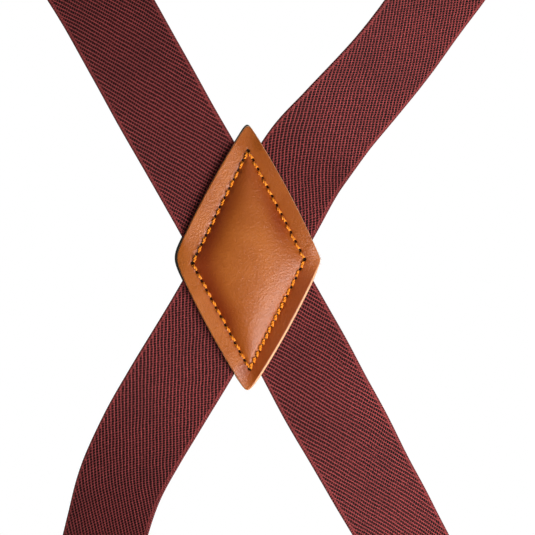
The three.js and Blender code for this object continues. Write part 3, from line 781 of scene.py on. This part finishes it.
def cover_rows():
    """Rows from the centre to the rim's edge: points as (across, up), the face's height there and
    how dark the leather is painted there, partly burnishing and partly painted shade."""
    inner = np.linspace(0.0, 1.0, 46)[1:] ** 0.8
    outer = np.linspace(0.0, 1.0, 19)[1:]
    rows, heights, burnish_and_shade = [], [], []
    for share in inner:
        p = CENTRE + share * (SEWN - CENTRE)
        rows.append(p)
        heights.append(VALLEY + crown(p[:, 0], p[:, 1]))
        # Darker where the crown slopes down to the seam: partly burnishing, partly painted shade.
        strain_and_slope_shade = 1 - smoothstep(0.25, 0.95, crown(p[:, 0], p[:, 1]) / CROWN)
        # Painted shade: the darkening is eased on the lower right, where the key light falls, and
        # at the top.
        low_right = p[:, 0] / SEAM[1, 0] - p[:, 1] / SEAM[0, 1]
        high = smoothstep(0.2, 0.8, p[:, 1] / SEAM[0, 1])
        shade_away_from_light = (1 - 0.7 * smoothstep(0.1, 0.8, low_right)) * (1 - 0.4 * high)
        burnish_and_shade.append(strain_and_slope_shade * shade_away_from_light)
    for share in outer:
        p = SEWN + share * (OUTER - SEWN)
        rows.append(p)
        along_side = np.arange(AROUND) / (AROUND // 4) % 1
        flare = smoothstep(0.0, 0.3, along_side) * smoothstep(1.0, 0.7, along_side)
        heights.append(VALLEY + (RIM - VALLEY) * share**0.8 * flare)
        # Painted shade: the rim's lower right side, tilted away from the key light, is darkened
        # most, its upper right side a little, and the valley by the seam as well.
        lower_right, upper_right = side_weight(p, 1), side_weight(p, 0)
        rim_painted_shade = 0.03 + 0.72 * lower_right + 0.25 * upper_right
        burnish_and_shade.append(np.maximum(rim_painted_shade, 0.6 * (1 - smoothstep(0.0, 0.35, share))))
    return np.array(rows), np.array(heights), np.array(burnish_and_shade)


SKIVED = 0.75  # the cut edge slopes out this far along the lower right side


def build_cover():
    points, heights, burnish_and_shade = cover_rows()
    x, up = points[..., 0], points[..., 1]
    sink = dip(x, up)
    face = heights - sink - pucker(x, up)
    back = np.maximum(face - LEATHER_THICK, 4.35 - sink)
    back = np.minimum(back, face - 0.7)
    rows = len(points)
    edge_rows = 5
    tangent = unit(np.roll(OUTER, -1, axis=0) - np.roll(OUTER, 1, axis=0))
    outward = np.stack([-tangent[:, 1], tangent[:, 0]], -1)
    outward = outward * np.sign((outward * OUTER).sum(1, keepdims=True))
    slope = 0.12 + SKIVED * side_weight(OUTER, 1)[:, None]
    wall = []
    for k in range(1, edge_rows + 1):
        t = k / edge_rows
        swell = 0.12 * math.sin(t * math.pi)
        rim = OUTER + outward * (slope * (t - 0.5 * smoothstep(0.85, 1.0, t)) + swell)
        level = face[-1] + (back[-1] - face[-1]) * t
        wall.append(np.stack([rim[:, 0], level, rim[:, 1]], -1))
    grid = np.concatenate([np.stack([x, face, up], -1), wall, np.stack([x, back, up], -1)[::-1]])
    cut = np.zeros(grid.shape[:2])
    cut[rows : rows + edge_rows] = 1
    # The leather's darkening per point, partly burnishing and partly painted shade; nil on the cut
    # edge and the back.
    tone = np.zeros(grid.shape[:2])
    tone[:rows] = burnish_and_shade
    middle_face = (CENTRE[0], VALLEY + CROWN, CENTRE[1])
    middle_back = (CENTRE[0], VALLEY + CROWN - LEATHER_THICK, CENTRE[1])
    flat = np.vstack([grid.reshape(-1, 3), middle_face, middle_back])
    faces = grid_faces(len(grid), AROUND)
    top, bottom = len(flat) - 2, len(flat) - 1
    end = (len(grid) - 1) * AROUND
    faces += fan(top, 0, AROUND, flip=True) + fan(bottom, end, AROUND)
    values = {"cut": np.append(cut.ravel(), [0, 0]), "burnish_and_shade": np.append(tone.ravel(), [0, 0])}
    return new_object("patch_cover", patch_out(*flat.T), faces, LEATHER, attributes=values)


def level_face(x, up):
    """The height of a flat face."""
    return 0 * x


def cover_height(x, up):
    """The height of the cover's face at the seam, where the stitches lie."""
    x, up = np.asarray(x), np.asarray(up)
    return VALLEY - dip(x, up)


def build_lining():
    """A flat suede back whose cut edge shows a little past the leather."""
    turn = np.arange(AROUND) / AROUND * TURN
    outward = unit(OUTER)
    spare = 0.45 + 0.2 * np.sin(turn * 3 + 0.6) + 0.12 * np.sin(turn * 7)
    edge = OUTER + outward * spare[:, None] + [-0.35, 0.25]
    rows = []
    for inset, height in ((6.0, 0.0), (0.15, 0.0), (0.0, 0.2), (0.0, 0.8), (0.15, 1.0), (6.0, 1.0)):
        rows.append(on_cover(edge - outward * inset, height))
    faces = capped(len(rows), AROUND, flip=True)
    return new_object("patch_back", np.vstack(rows), faces, LINING)


def tube(path, radius, sides=8):
    """Rings of points round a path, with the radius given for each point or for all, and their
    faces.
    """
    path = np.asarray(path, float)
    along = unit(np.gradient(path, axis=0))
    side = unit(np.cross(along, [0.0, 1.0, 0.0]))
    lift = np.cross(side, along)
    around = np.arange(sides) / sides * TURN
    radius = np.broadcast_to(radius, len(path))
    cos, sin = np.cos(around)[None, :, None], np.sin(around)[None, :, None]
    points = path[:, None] + (cos * side[:, None] + sin * lift[:, None]) * radius[:, None, None]
    return points.reshape(-1, 3), capped(len(path), sides)


def merged(parts):
    """Several (points, faces) pairs as one."""
    points, faces, count = [], [], 0
    for p, f in parts:
        points.append(p)
        faces += [tuple(i + count for i in face) for face in f]
        count += len(p)
    return np.vstack(points), faces


def stitch(a, b, height, out, radius=0.46, slant=0.18, rise=0.46, turns=1.1):
    """One stitch of two-ply thread between two needle holes. height gives the level of
    the face, and out turns (across, level, up) into points or directions."""
    t = np.linspace(0, 1, 15)
    along = (b - a) / np.linalg.norm(b - a)
    side = np.array([-along[1], along[0]])
    flat = a + (b - a) * t[:, None] + side * slant * (t[:, None] - 0.5) * 2
    arch = np.sin(t * math.pi) ** 0.45
    level = height(flat[:, 0], flat[:, 1]) - 0.5 + (0.5 + rise) * arch
    middle = out(flat[:, 0], level, flat[:, 1])
    ply = radius * 0.55
    strands = []
    for phase in (0, math.pi):
        twist = t * turns * TURN + phase
        offset = side * (np.cos(twist) * ply)[:, None]
        point = middle + out(offset[:, 0], np.sin(twist) * ply * 0.8, offset[:, 1], True)
        strands.append(tube(point, radius * 0.62 * (0.75 + 0.25 * arch)))
    return strands


def over_patch(sign):
    """Places over a face of the patch: sign is -1 for the cover and 1 for the lining."""

    def out(x, height, up, direction=False):
        origin = (0, 0, 0) if direction else (0, LINING_Y, PATCH_Z)
        level = origin[1] + sign * np.asarray(height)
        return np.stack([x + origin[0], level, up + origin[2]], -1)

    return out


patch_out, lining_out = over_patch(-1), over_patch(1)


def on_cover(flat, level):
    """(across, up) points at one level over the lining's back."""
    return patch_out(flat[:, 0], np.full(len(flat), level), flat[:, 1])


def build_seam():
    strands = []
    for k, row in enumerate(HOLES):
        for j, (a, b) in enumerate(zip(row, row[1:])):
            along = (b - a) / np.linalg.norm(b - a)
            jitter = rng.normal(0, 0.05, 2)
            closer = k == 1 and j >= OVERLAP_FROM
            inset, shape = (0.3, (0.56, 0.3, 0.6)) if closer else (0.62, ())
            start, end = a + along * inset + jitter, b - along * inset + jitter
            strands += stitch(start, end, cover_height, patch_out, *shape)
    for row in HOLES:
        for a, b in zip(row, row[1:]):
            inset = (b - a) * 0.1
            strands += stitch(a + inset, b - inset, level_face, lining_out, 0.4, 0.1, 0.3)
    return new_object("patch_seam", *merged(strands), GOLD)


def build_holes():
    """Small pits where the needle went through, coloured near-black as painted shade."""
    SIDES = 12
    t = np.arange(SIDES) / SIDES * TURN
    faces = grid_faces(2, SIDES, flip=True) + [tuple(range(SIDES, 2 * SIDES))[::-1]]
    parts = []
    for row in HOLES:
        along = (row[-1] - row[0]) / np.linalg.norm(row[-1] - row[0])
        side = np.array([-along[1], along[0]])
        for h in row[:-1]:
            rim = h + np.outer(np.cos(t) * 0.8, along) + np.outer(np.sin(t) * 0.64, side)
            level = float(cover_height(*h)) - 0.12
            rings = on_cover(rim, level + 0.16), on_cover(h + (rim - h) * 0.5, level - 0.05)
            parts.append((np.vstack(rings), faces))
    return new_object("needle_holes", *merged(parts), HOLE)


def build_fibres():
    """A few loose fibres at the cut edge of the right corner."""
    strands = []
    for _ in range(14):
        i = int(rng.integers(AROUND // 4 - 14, AROUND // 4 + 16))
        start = OUTER[i]
        reach = unit(start[None])[0] * rng.uniform(0.4, 1.1) + rng.normal(0, 0.3, 2)
        t = np.linspace(0, 1, 6)[:, None]
        flat = start - 0.2 * reach + reach * t + rng.normal(0, 0.25, 2) * t**2
        level = RIM - 3.0 + rng.uniform(-0.4, 0.6)
        strands.append(tube(on_cover(flat, level), 0.045, 4))
    return new_object("edge_fibres", *merged(strands), LEATHER)


cover = build_cover()
settle(cover, "root", "patch_leather", "patch_face_leather")
settle(build_lining(), "root", "patch_lining", "patch_lining")
settle(build_seam(), "root", "gold_thread", "patch_stitching")
settle(build_holes(), "root", "patch_leather")
settle(build_fibres(), "root", "patch_leather")

# ---- webbing at the ends ----


def turn_rows(centre_y, centre_z, radius, start, stop, count=7):
    """Rows of (y, z, outward y, outward z) round a bar, from one angle to another."""
    rows = []
    for degrees in np.linspace(start, stop, count):
        y, z = math.cos(math.radians(degrees)), math.sin(math.radians(degrees))
        rows.append((centre_y + radius * y, centre_z + radius * z, y, z))
    return rows


def arc(*turn):
    return [row[:2] for row in turn_rows(*turn)]


def end_strip(name, end, rows, step, ripple=0.0):
    """Webbing along rows in an end's own frame."""
    route = Route([end.station(*row) for row in rows])
    return web_strip(name, route, 0, len(rows) - 1, step, ripple)


def rear_loop(name, end):
    straight = [
        (-REAR_LAYER, REAR_LOOP_TOP, -1, 0),
        (-REAR_LAYER, 24, -1, 0),
        (-1.9, 12, -1, -0.15),
        (-LOOP_RADIUS, 5, -1, 0),
    ]
    back = [(-y, z, -a, b) for y, z, a, b in straight[:0:-1]] + [(REAR_LAYER, 40, 1, 0)]
    rows = straight + turn_rows(0, 0, LOOP_RADIUS, 180, 360) + back
    return end_strip(f"{name}_loop_webbing", end, rows, 0.8, 0.05)


def front_loop(name, end):
    down = [(-LOOP_RADIUS, FRONT_LOOP_TOP, -1, 0), (-LOOP_RADIUS, 8, -1, 0)]
    up = [(LOOP_RADIUS, 8, 1, 0), (LOOP_RADIUS, FRONT_LOOP_TOP, 1, 0)]
    rows = down + turn_rows(0, 0, LOOP_RADIUS, 180, 360) + up
    return end_strip(f"{name}_loop_webbing", end, rows, 0.8)


TAIL_TOP = ADJUSTER_UP + TAIL_BAR_Z


def front_tail(name, end):
    up = [(LOOP_RADIUS, z, 1, 0) for z in (FRONT_LOOP_TOP, 70, TAIL_TOP - 6)]
    middle = LOOP_RADIUS - TAIL_TURN
    folded = [(middle - TAIL_TURN, TAIL_TOP - z, -1, 0) for z in (5, 14)]
    rows = up + turn_rows(middle, TAIL_TOP, TAIL_TURN, 0, 180) + folded
    return end_strip(f"{name}_tail_webbing", end, rows, 1.0)


def sewn_line(name, end, corners, face_y, pitch=2.4, gap=0.25):
    """Stitches along a broken line of (x, z) corners on a webbing's face; face_y is the
    face's y and its sign the way it looks."""
    facing = math.copysign(1, face_y)

    def out(x, height, up, direction=False):
        level = facing * np.asarray(height) + (0 if direction else face_y)
        rows = np.stack([x, level, up], -1)
        return end.aim(rows) if direction else end.place(rows)

    strands = []
    corners = np.array(corners, float)
    for a, b in zip(corners, corners[1:]):
        count = max(1, round(np.linalg.norm(b - a) / pitch))
        for j in range(count):
            p, q = (a + (b - a) * t / count for t in (j + gap / 2, j + 1 - gap / 2))
            strands += stitch(p, q, level_face, out, 0.26, 0.06, 0.22)
    return new_object(name, *merged(strands), WINE)


def build_rear_end(name):
    end = ENDS[name]
    settle(rear_loop(name, end), f"{name}_end", "webbing", f"{name}_loop")
    low, high, half = 26.6, 39.4, 12.9
    box = [(-half, low), (half, low), (half, high), (-half, high), (-half, low)]
    sewn = sewn_line(f"{name}_box_seam", end, box, -REAR_LAYER - WEB_THICK / 2)
    settle(sewn, f"{name}_end", "wine_thread", f"{name}_box_stitch")


def build_front_end(name, side):
    end = ENDS[name]
    settle(front_loop(name, end), f"{name}_end", "webbing", f"{name}_loop")
    tail = front_tail(name, end)
    settle(tail, None, "webbing", f"{name}_tail")
    levels = FRONT_LOOP_TOP + 2, TAIL_TOP - 14
    low, high = (Vector(end.place([(0, 0, z)])[0]) * MM for z in levels)
    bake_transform(tail)
    zigzag = [(-13.5 + 1.5 * i, TAIL_TOP - (9.0 if i % 2 else 11.0)) for i in range(19)]
    sewn = sewn_line(f"{name}_tail_seam", end, zigzag, LOOP_RADIUS + WEB_THICK / 2, 2.5, 0.1)
    settle(sewn, f"{side}_adjuster", "wine_thread", f"{name}_tail_stitch")


# ---- metalwork ----

SHEET = 1.0
CLIP_WIDTH = 31.0
CLIP_PLATE_Y, CLIP_BOTTOM = 4.6, -42.0
HOOK_RADIUS = 2.6
CLIP_PIN_Y, CLIP_PIN_Z = -1.5, -36.0
COVER_Y = CLIP_PIN_Y - 3.4
EAR_RADIUS, CAM_HALF = 2.4, 12.5
CRISP_ANGLE = math.radians(38)
LEVER_WIDTH, LEVER_LENGTH = CLIP_WIDTH + 1.5, 29.4
PRESSED = 0.35
BAR_RADIUS = 1.6
RING_HALF = 36.6 / 2 + BAR_RADIUS
ADJUSTER_WIDTH, ADJUSTER_HEIGHT = 41.0, 24.0
FLANGE_X = WEB_WIDTH / 2 + 1.9
GRIPPER_PIN_Y, GRIPPER_PIN_Z, GRIPPER_WIDTH = 0.6, 5.0, 33.0


def bent_sheet(line, width, corners, thickness=SHEET, relief=None):
    """A bent metal sheet with rounded edges, as (points, faces). line is its middle line
    in (y, z); corners are the radii of its two ends; relief(x, s) raises the face on the
    left of the line, s being the distance along it."""
    SPACING, EASING, ACROSS = 0.6, 2, 41
    line = np.asarray(line, float)
    run = np.concatenate([[0], np.cumsum(np.linalg.norm(np.diff(line, axis=0), axis=1))])
    s = np.linspace(0, run[-1], max(4, int(run[-1] / SPACING)))
    path = np.stack([np.interp(s, run, line[:, 0]), np.interp(s, run, line[:, 1])], -1)
    for _ in range(EASING):
        path[1:-1] = 0.25 * path[:-2] + 0.5 * path[1:-1] + 0.25 * path[2:]
    along = unit(np.gradient(path, axis=0))
    left = np.stack([-along[:, 1], along[:, 0]], -1)
    edge = thickness / 2
    half = np.full(len(s), width / 2)
    for radius, distance in zip(corners, (s, run[-1] - s)):
        short = np.clip(radius - distance, 0, radius)
        half -= radius - np.sqrt(np.maximum(radius**2 - short**2, 0))
    share = np.linspace(-1, 1, ACROSS)
    bend = np.radians(np.linspace(90, -90, 7))[1:-1]
    out, up = edge * np.cos(bend), edge * np.sin(bend)
    rows = []
    for i, w in enumerate(half - edge):
        x = share * w
        top = edge + (relief(x, np.full(len(x), s[i])) if relief else 0 * x)
        across = np.concatenate([x, w + out, x[::-1], -w - out])
        lift = np.concatenate([top, up, 0 * x - edge, -up])
        rows.append(np.column_stack([across, path[i] + lift[:, None] * left[i]]))
    return np.vstack(rows), capped(len(rows), len(rows[0]))


def prism(outline, low, high, bevel=0.25):
    """An outline in (y, z), going round to the left, pulled along x, with bevelled ends."""
    outline = np.asarray(outline, float)
    before, after = np.roll(outline, 1, axis=0), np.roll(outline, -1, axis=0)
    inward = unit(unit(before - outline) + unit(after - outline) + 1e-9)
    come, go = outline - before, after - outline
    inward *= np.sign(come[:, 0] * go[:, 1] - come[:, 1] * go[:, 0])[:, None]
    rings = []
    for x, inset in ((low, bevel), (low + bevel, 0), (high - bevel, 0), (high, bevel)):
        rings.append(np.column_stack([np.full(len(outline), x), outline + inward * inset]))
    return np.vstack(rings), capped(4, len(outline), flip=True)


def turned(profile, centre_y, centre_z):
    """A piece turned round the x axis, from (x, radius) pairs that start and end at 0."""
    SIDES = 20
    t = np.arange(SIDES) / SIDES * TURN
    rows = []
    for x, radius in profile[1:-1]:
        y, z = centre_y + radius * np.cos(t), centre_z + radius * np.sin(t)
        rows.append(np.column_stack([np.full(SIDES, x), y, z]))
    tips = [(profile[k][0], centre_y, centre_z) for k in (0, -1)]
    points = np.vstack(rows + [tips])
    faces = grid_faces(len(rows), SIDES, flip=True)
    first, last = len(points) - 2, len(points) - 1
    end = (len(rows) - 1) * SIDES
    return points, faces + fan(first, 0, SIDES) + fan(last, end, SIDES, flip=True)


def rivet(half, shaft, head, thick, y, z):
    """A pin with a domed head at each end, its heads starting at half."""
    dome_shape = [(1, 0), (1, 0.35), (0.8, 0.75), (0.3, 1), (0, 1)]
    dome = [(half + thick * a, head * b) for a, b in dome_shape]
    left = [(-x, r) for x, r in dome]
    return turned(left + [(-half, shaft), (half, shaft)] + dome[::-1], y, z)


def ring_wire():
    """A closed frame of round wire whose upper bar is the origin."""
    CORNER, SIDES = 2.6, 14
    right, low = RING_HALF - CORNER, -RING_DROP + CORNER
    path = []
    turns = (right, -CORNER, 90), (right, low, 0), (-right, low, -90), (-right, -CORNER, -180)
    for cx, cz, start in turns:
        path += [(x, 0, z) for x, z in arc(cx, cz, CORNER, start, start - 90, 8)]
    path = np.array(path)
    along = unit(np.roll(path, -1, axis=0) - np.roll(path, 1, axis=0))
    side = unit(np.cross(along, [0.0, 1.0, 0.0]))
    t = np.arange(SIDES) / SIDES * TURN
    ring = np.cos(t)[:, None] * side[:, None] + np.sin(t)[:, None] * [0.0, 1.0, 0.0]
    points = (path[:, None] + ring * BAR_RADIUS).reshape(-1, 3)
    quads = grid_faces(len(path) + 1, SIDES, flip=True)
    return points, [tuple(i % len(points) for i in quad) for quad in quads]


def shifted(shape, z):
    points, faces = shape
    return points + [0, 0, z], faces


def border(x, s, width, length, inset):
    """The distance to a sheet's nearest edge, and a line pressed that far inside it."""
    nearest = np.minimum(width / 2 - np.abs(x), np.minimum(s, length - s))
    return nearest, np.exp(-(((nearest - inset) / 0.5) ** 2))


def lever_relief(x, s):
    """A line pressed round the lever, and three grip bars across its free end."""
    _, line = border(x, s, LEVER_WIDTH, LEVER_LENGTH, 2.2)
    places = (LEVER_LENGTH - 5.5 - 2.2 * k for k in range(3))
    bars = sum(np.exp(-(((s - place) / 0.45) ** 2)) for place in places)
    inside = smoothstep(LEVER_WIDTH / 2 - 4.5, LEVER_WIDTH / 2 - 5.5, np.abs(x))
    return PRESSED * np.maximum(line, bars * inside)


def plate_relief(x, s):
    """A line pressed round the adjuster's plate, and fine ribs across its middle."""
    nearest, line = border(x, s, ADJUSTER_WIDTH, ADJUSTER_HEIGHT, 2.0)
    ribs = 0.5 + 0.5 * np.cos((s - ADJUSTER_HEIGHT / 2) * TURN / 2.4)
    return PRESSED * np.maximum(line, 0.7 * ribs * smoothstep(4.0, 5.0, nearest))


def clip_plate():
    hook = arc(0, 0, HOOK_RADIUS, 0, 276, 24)
    line = [(CLIP_PLATE_Y, CLIP_BOTTOM), (CLIP_PLATE_Y, -8), (HOOK_RADIUS + 0.3, -3.2), *hook]
    parts = [bent_sheet(line, CLIP_WIDTH, (3.0, 1.0))]
    round_pin = arc(CLIP_PIN_Y, CLIP_PIN_Z, EAR_RADIUS, 100, 270, 9)
    ear = [(CLIP_PLATE_Y, CLIP_PIN_Z + 8), *round_pin, (CLIP_PLATE_Y, CLIP_PIN_Z - 3)]
    middle = (CLIP_WIDTH - SHEET) / 2
    parts += [prism(ear, x - SHEET / 2, x + SHEET / 2, 0.2) for x in (-middle, middle)]
    return merged(parts)


def lever_cover():
    line = [(0, CLIP_PIN_Z - 2.3), (0, -15), (-0.9, -11.2), (-1.5, -9.3)]
    line = [(COVER_Y + y, z) for y, z in line]
    cover = bent_sheet(line, LEVER_WIDTH, (2.5, 3.0), relief=lever_relief)
    nose = CLIP_PIN_Y + 2.2
    cam = [(nose, -1.7), (nose, 1.7), (CLIP_PIN_Y, 2), (COVER_Y, 2), (COVER_Y, -2)]
    cam = [(y, CLIP_PIN_Z + z) for y, z in [*cam, (CLIP_PIN_Y, -2)]]
    return merged([cover, prism(cam, -CAM_HALF, CAM_HALF)])


def metal(name, end, shape, body, node):
    """A brass piece; its faces stay crisp where they meet at a steep angle."""
    points, faces = shape
    made = new_object(name, end.place(points), faces, BRASS)
    made.data.set_sharp_from_angle(angle=CRISP_ANGLE)
    settle(made, body, "brass", node)


def build_clip(name):
    end = ENDS[name]
    metal(f"{name}_ring_wire", end, ring_wire(), f"{name}_ring", f"{name}_clip_ring")
    plate, lever = (shifted(shape, -RING_DROP) for shape in (clip_plate(), lever_cover()))
    metal(f"{name}_clip_plate", end, plate, f"{name}_clip", f"{name}_clip_body")
    metal(f"{name}_lever_cover", end, lever, f"{name}_lever", f"{name}_clip_lever")
    pin = rivet(CLIP_WIDTH / 2 + GAP / 2, 1.0, 1.7, 0.9, CLIP_PIN_Y, CLIP_PIN_Z - RING_DROP)
    metal(f"{name}_clip_rivet", end, pin, f"{name}_clip", f"{name}_clip_pin")


def adjuster_frame():
    plate_y = -LOOP_RADIUS - WEB_THICK / 2 - 0.4 - SHEET / 2
    half = ADJUSTER_HEIGHT / 2
    line = [(plate_y, -half), (plate_y, half)]
    plate = bent_sheet(line, ADJUSTER_WIDTH, (2.5, 2.5), relief=plate_relief)
    outline = [(plate_y, 10), (plate_y, -10), (3.2, -10), (3.2, 8)]
    parts = [plate]
    for x in (-FLANGE_X, FLANGE_X):
        parts.append(prism(outline, x - SHEET / 2, x + SHEET / 2, 0.2))
    bar = [(-FLANGE_X, 0), (-FLANGE_X, 0.8), (FLANGE_X, 0.8), (FLANGE_X, 0)]
    return merged([*parts, turned(bar, LOOP_RADIUS - TAIL_TURN, TAIL_BAR_Z)])


def adjuster_gripper():
    BARREL, NOSE = 1.7, 2.3
    y, z = GRIPPER_PIN_Y, GRIPPER_PIN_Z
    handle_y = y + BARREL + 0.1
    cam = [(y - NOSE, z + 0.7), (y - NOSE, z - 0.7), (y, z - BARREL), (handle_y, z - BARREL)]
    cam += [(handle_y, z + BARREL), (y, z + BARREL)]
    line = [(handle_y + 0.9, 14.4), (handle_y, 11), (handle_y, z - BARREL)]
    handle = bent_sheet(line, GRIPPER_WIDTH, (2.5, 0.5), 0.8)
    return merged([prism(cam, -GRIPPER_WIDTH / 2, GRIPPER_WIDTH / 2), handle])


def build_adjuster(side):
    end = ENDS[f"front_{side}"]
    head = FLANGE_X + SHEET / 2 + GAP / 2
    pin = rivet(head, 0.75, 1.4, 0.75, GRIPPER_PIN_Y, GRIPPER_PIN_Z)
    for part, shape, body, node in (
        ("adjuster_plate", adjuster_frame(), "adjuster", "adjuster_frame"),
        ("gripper_bar", adjuster_gripper(), "gripper", "adjuster_gripper"),
        ("adjuster_rivet", pin, "adjuster", "adjuster_pin"),
    ):
        raised = shifted(shape, ADJUSTER_UP)
        metal(f"{side}_{part}", end, raised, f"{side}_{body}", f"{side}_{node}")


for side in ("left", "right"):
    build_rear_end(f"rear_{side}")
    build_front_end(f"front_{side}", side)
    build_adjuster(side)
for name in ENDS:
    build_clip(name)

# ---- CAD pieces that stay, in their finished materials ----

FINISHES = {
    "webbing": WEBBING,
    "patch_leather": LEATHER,
    "patch_lining": LINING,
    "patch_padding": FELT,
    "gold_thread": GOLD,
    "wine_thread": WINE,
    "brass": BRASS,
    "grip_rubber": RUBBER,
}
for row in frame["record"]["subparts"]:
    node = frame["nodes"][row["node"]]
    node.data.materials.clear()
    node.data.materials.append(FINISHES[row["material_slot"]])

# ---- camera, light, floor ----

LENS = 600.0
VIEW_WIDTH, VIEW_DEPTH = 202.2, 5.0  # the width shown at that depth over the lining
VIEW_X, VIEW_UP = 7.4, -3.2  # the middle of the view, from the patch's centre
camera = bpy.data.objects.new("camera", bpy.data.cameras.new("camera"))
bpy.context.scene.collection.objects.link(camera)
camera.data.lens = LENS
camera.data.clip_end = 100.0
away = VIEW_WIDTH * LENS / camera.data.sensor_width
camera.location = Vector((VIEW_X, LINING_Y - VIEW_DEPTH - away, PATCH_Z + VIEW_UP)) * MM
camera.rotation_euler = (math.pi / 2, 0, 0)
bpy.context.scene.camera = camera


def soft_light(name, place, target, size, watts):
    light = bpy.data.lights.new(name, "AREA")
    light.shape, light.size, light.energy = "DISK", size, watts
    made = bpy.data.objects.new(name, light)
    bpy.context.scene.collection.objects.link(made)
    made.location = place
    made.rotation_mode = "QUATERNION"
    made.rotation_quaternion = (Vector(target) - Vector(place)).to_track_quat("-Z", "Y")
    made.visible_camera = False
    return made


HEART = (0, -0.1, -0.21)
soft_light("key", (0.42, -0.64, -0.6), HEART, 0.6, 10.0)
soft_light("fill", (-0.25, -2.6, 0.4), HEART, 1.2, 8.0).visible_glossy = False
soft_light("overhead", (0.2, 1.4, 2.6), (0, 0.6, -0.9), 3.0, 90.0)
soft_light("front", (0.8, 2.2, 0.3), (0, 0.1, -0.25), 1.4, 13.0)

world = bpy.data.worlds.new("studio")
bpy.context.scene.world = world
world.use_nodes = True
background = world.node_tree.nodes["Background"]
background.inputs["Color"].default_value = (1, 1, 1, 1)
tree = world.node_tree
rays = tree.nodes.new("ShaderNodeLightPath")
DIM, IN_REFLECTIONS, TO_CAMERA = 0.06, 0.12, 0.94


def brighter(kind, more, base):
    """A strength of base, and that much more for one kind of ray."""
    part = tree.nodes.new("ShaderNodeMath")
    part.operation = "MULTIPLY_ADD"
    part.inputs[1].default_value = more
    tree.links.new(rays.outputs[kind], part.inputs[0])
    if isinstance(base, float):
        part.inputs[2].default_value = base
    else:
        tree.links.new(base, part.inputs[2])
    return part.outputs[0]


dimmed = brighter("Is Glossy Ray", IN_REFLECTIONS, DIM)
tree.links.new(brighter("Is Camera Ray", TO_CAMERA, dimmed), background.inputs["Strength"])

floor_look = Look("floor", Specular_IOR_Level=0.2)
speck = floor_look.noise(floor_look.millimetres(), 0.01, 2.0)
floor_look.finish(floor_look.mix(speck, (0.82, 0.82, 0.81), (0.88, 0.88, 0.87)), 0.9)
floor_look.shader.inputs["Emission Color"].default_value = (1, 1, 1, 1)
floor_look.shader.inputs["Emission Strength"].default_value = 0.8
FLOOR_Z, FLOOR_HALF = -950.0, 12000.0
square = (-1, -1), (1, -1), (1, 1), (-1, 1)
corners = [(x * FLOOR_HALF, y * FLOOR_HALF, FLOOR_Z) for x, y in square]
floor = new_object("floor", corners, [(0, 1, 2, 3)], floor_look.material)
floor.visible_diffuse = floor.visible_glossy = False

bpy.context.scene.view_settings.view_transform = "Standard"
bpy.context.scene.view_settings.look = "None"
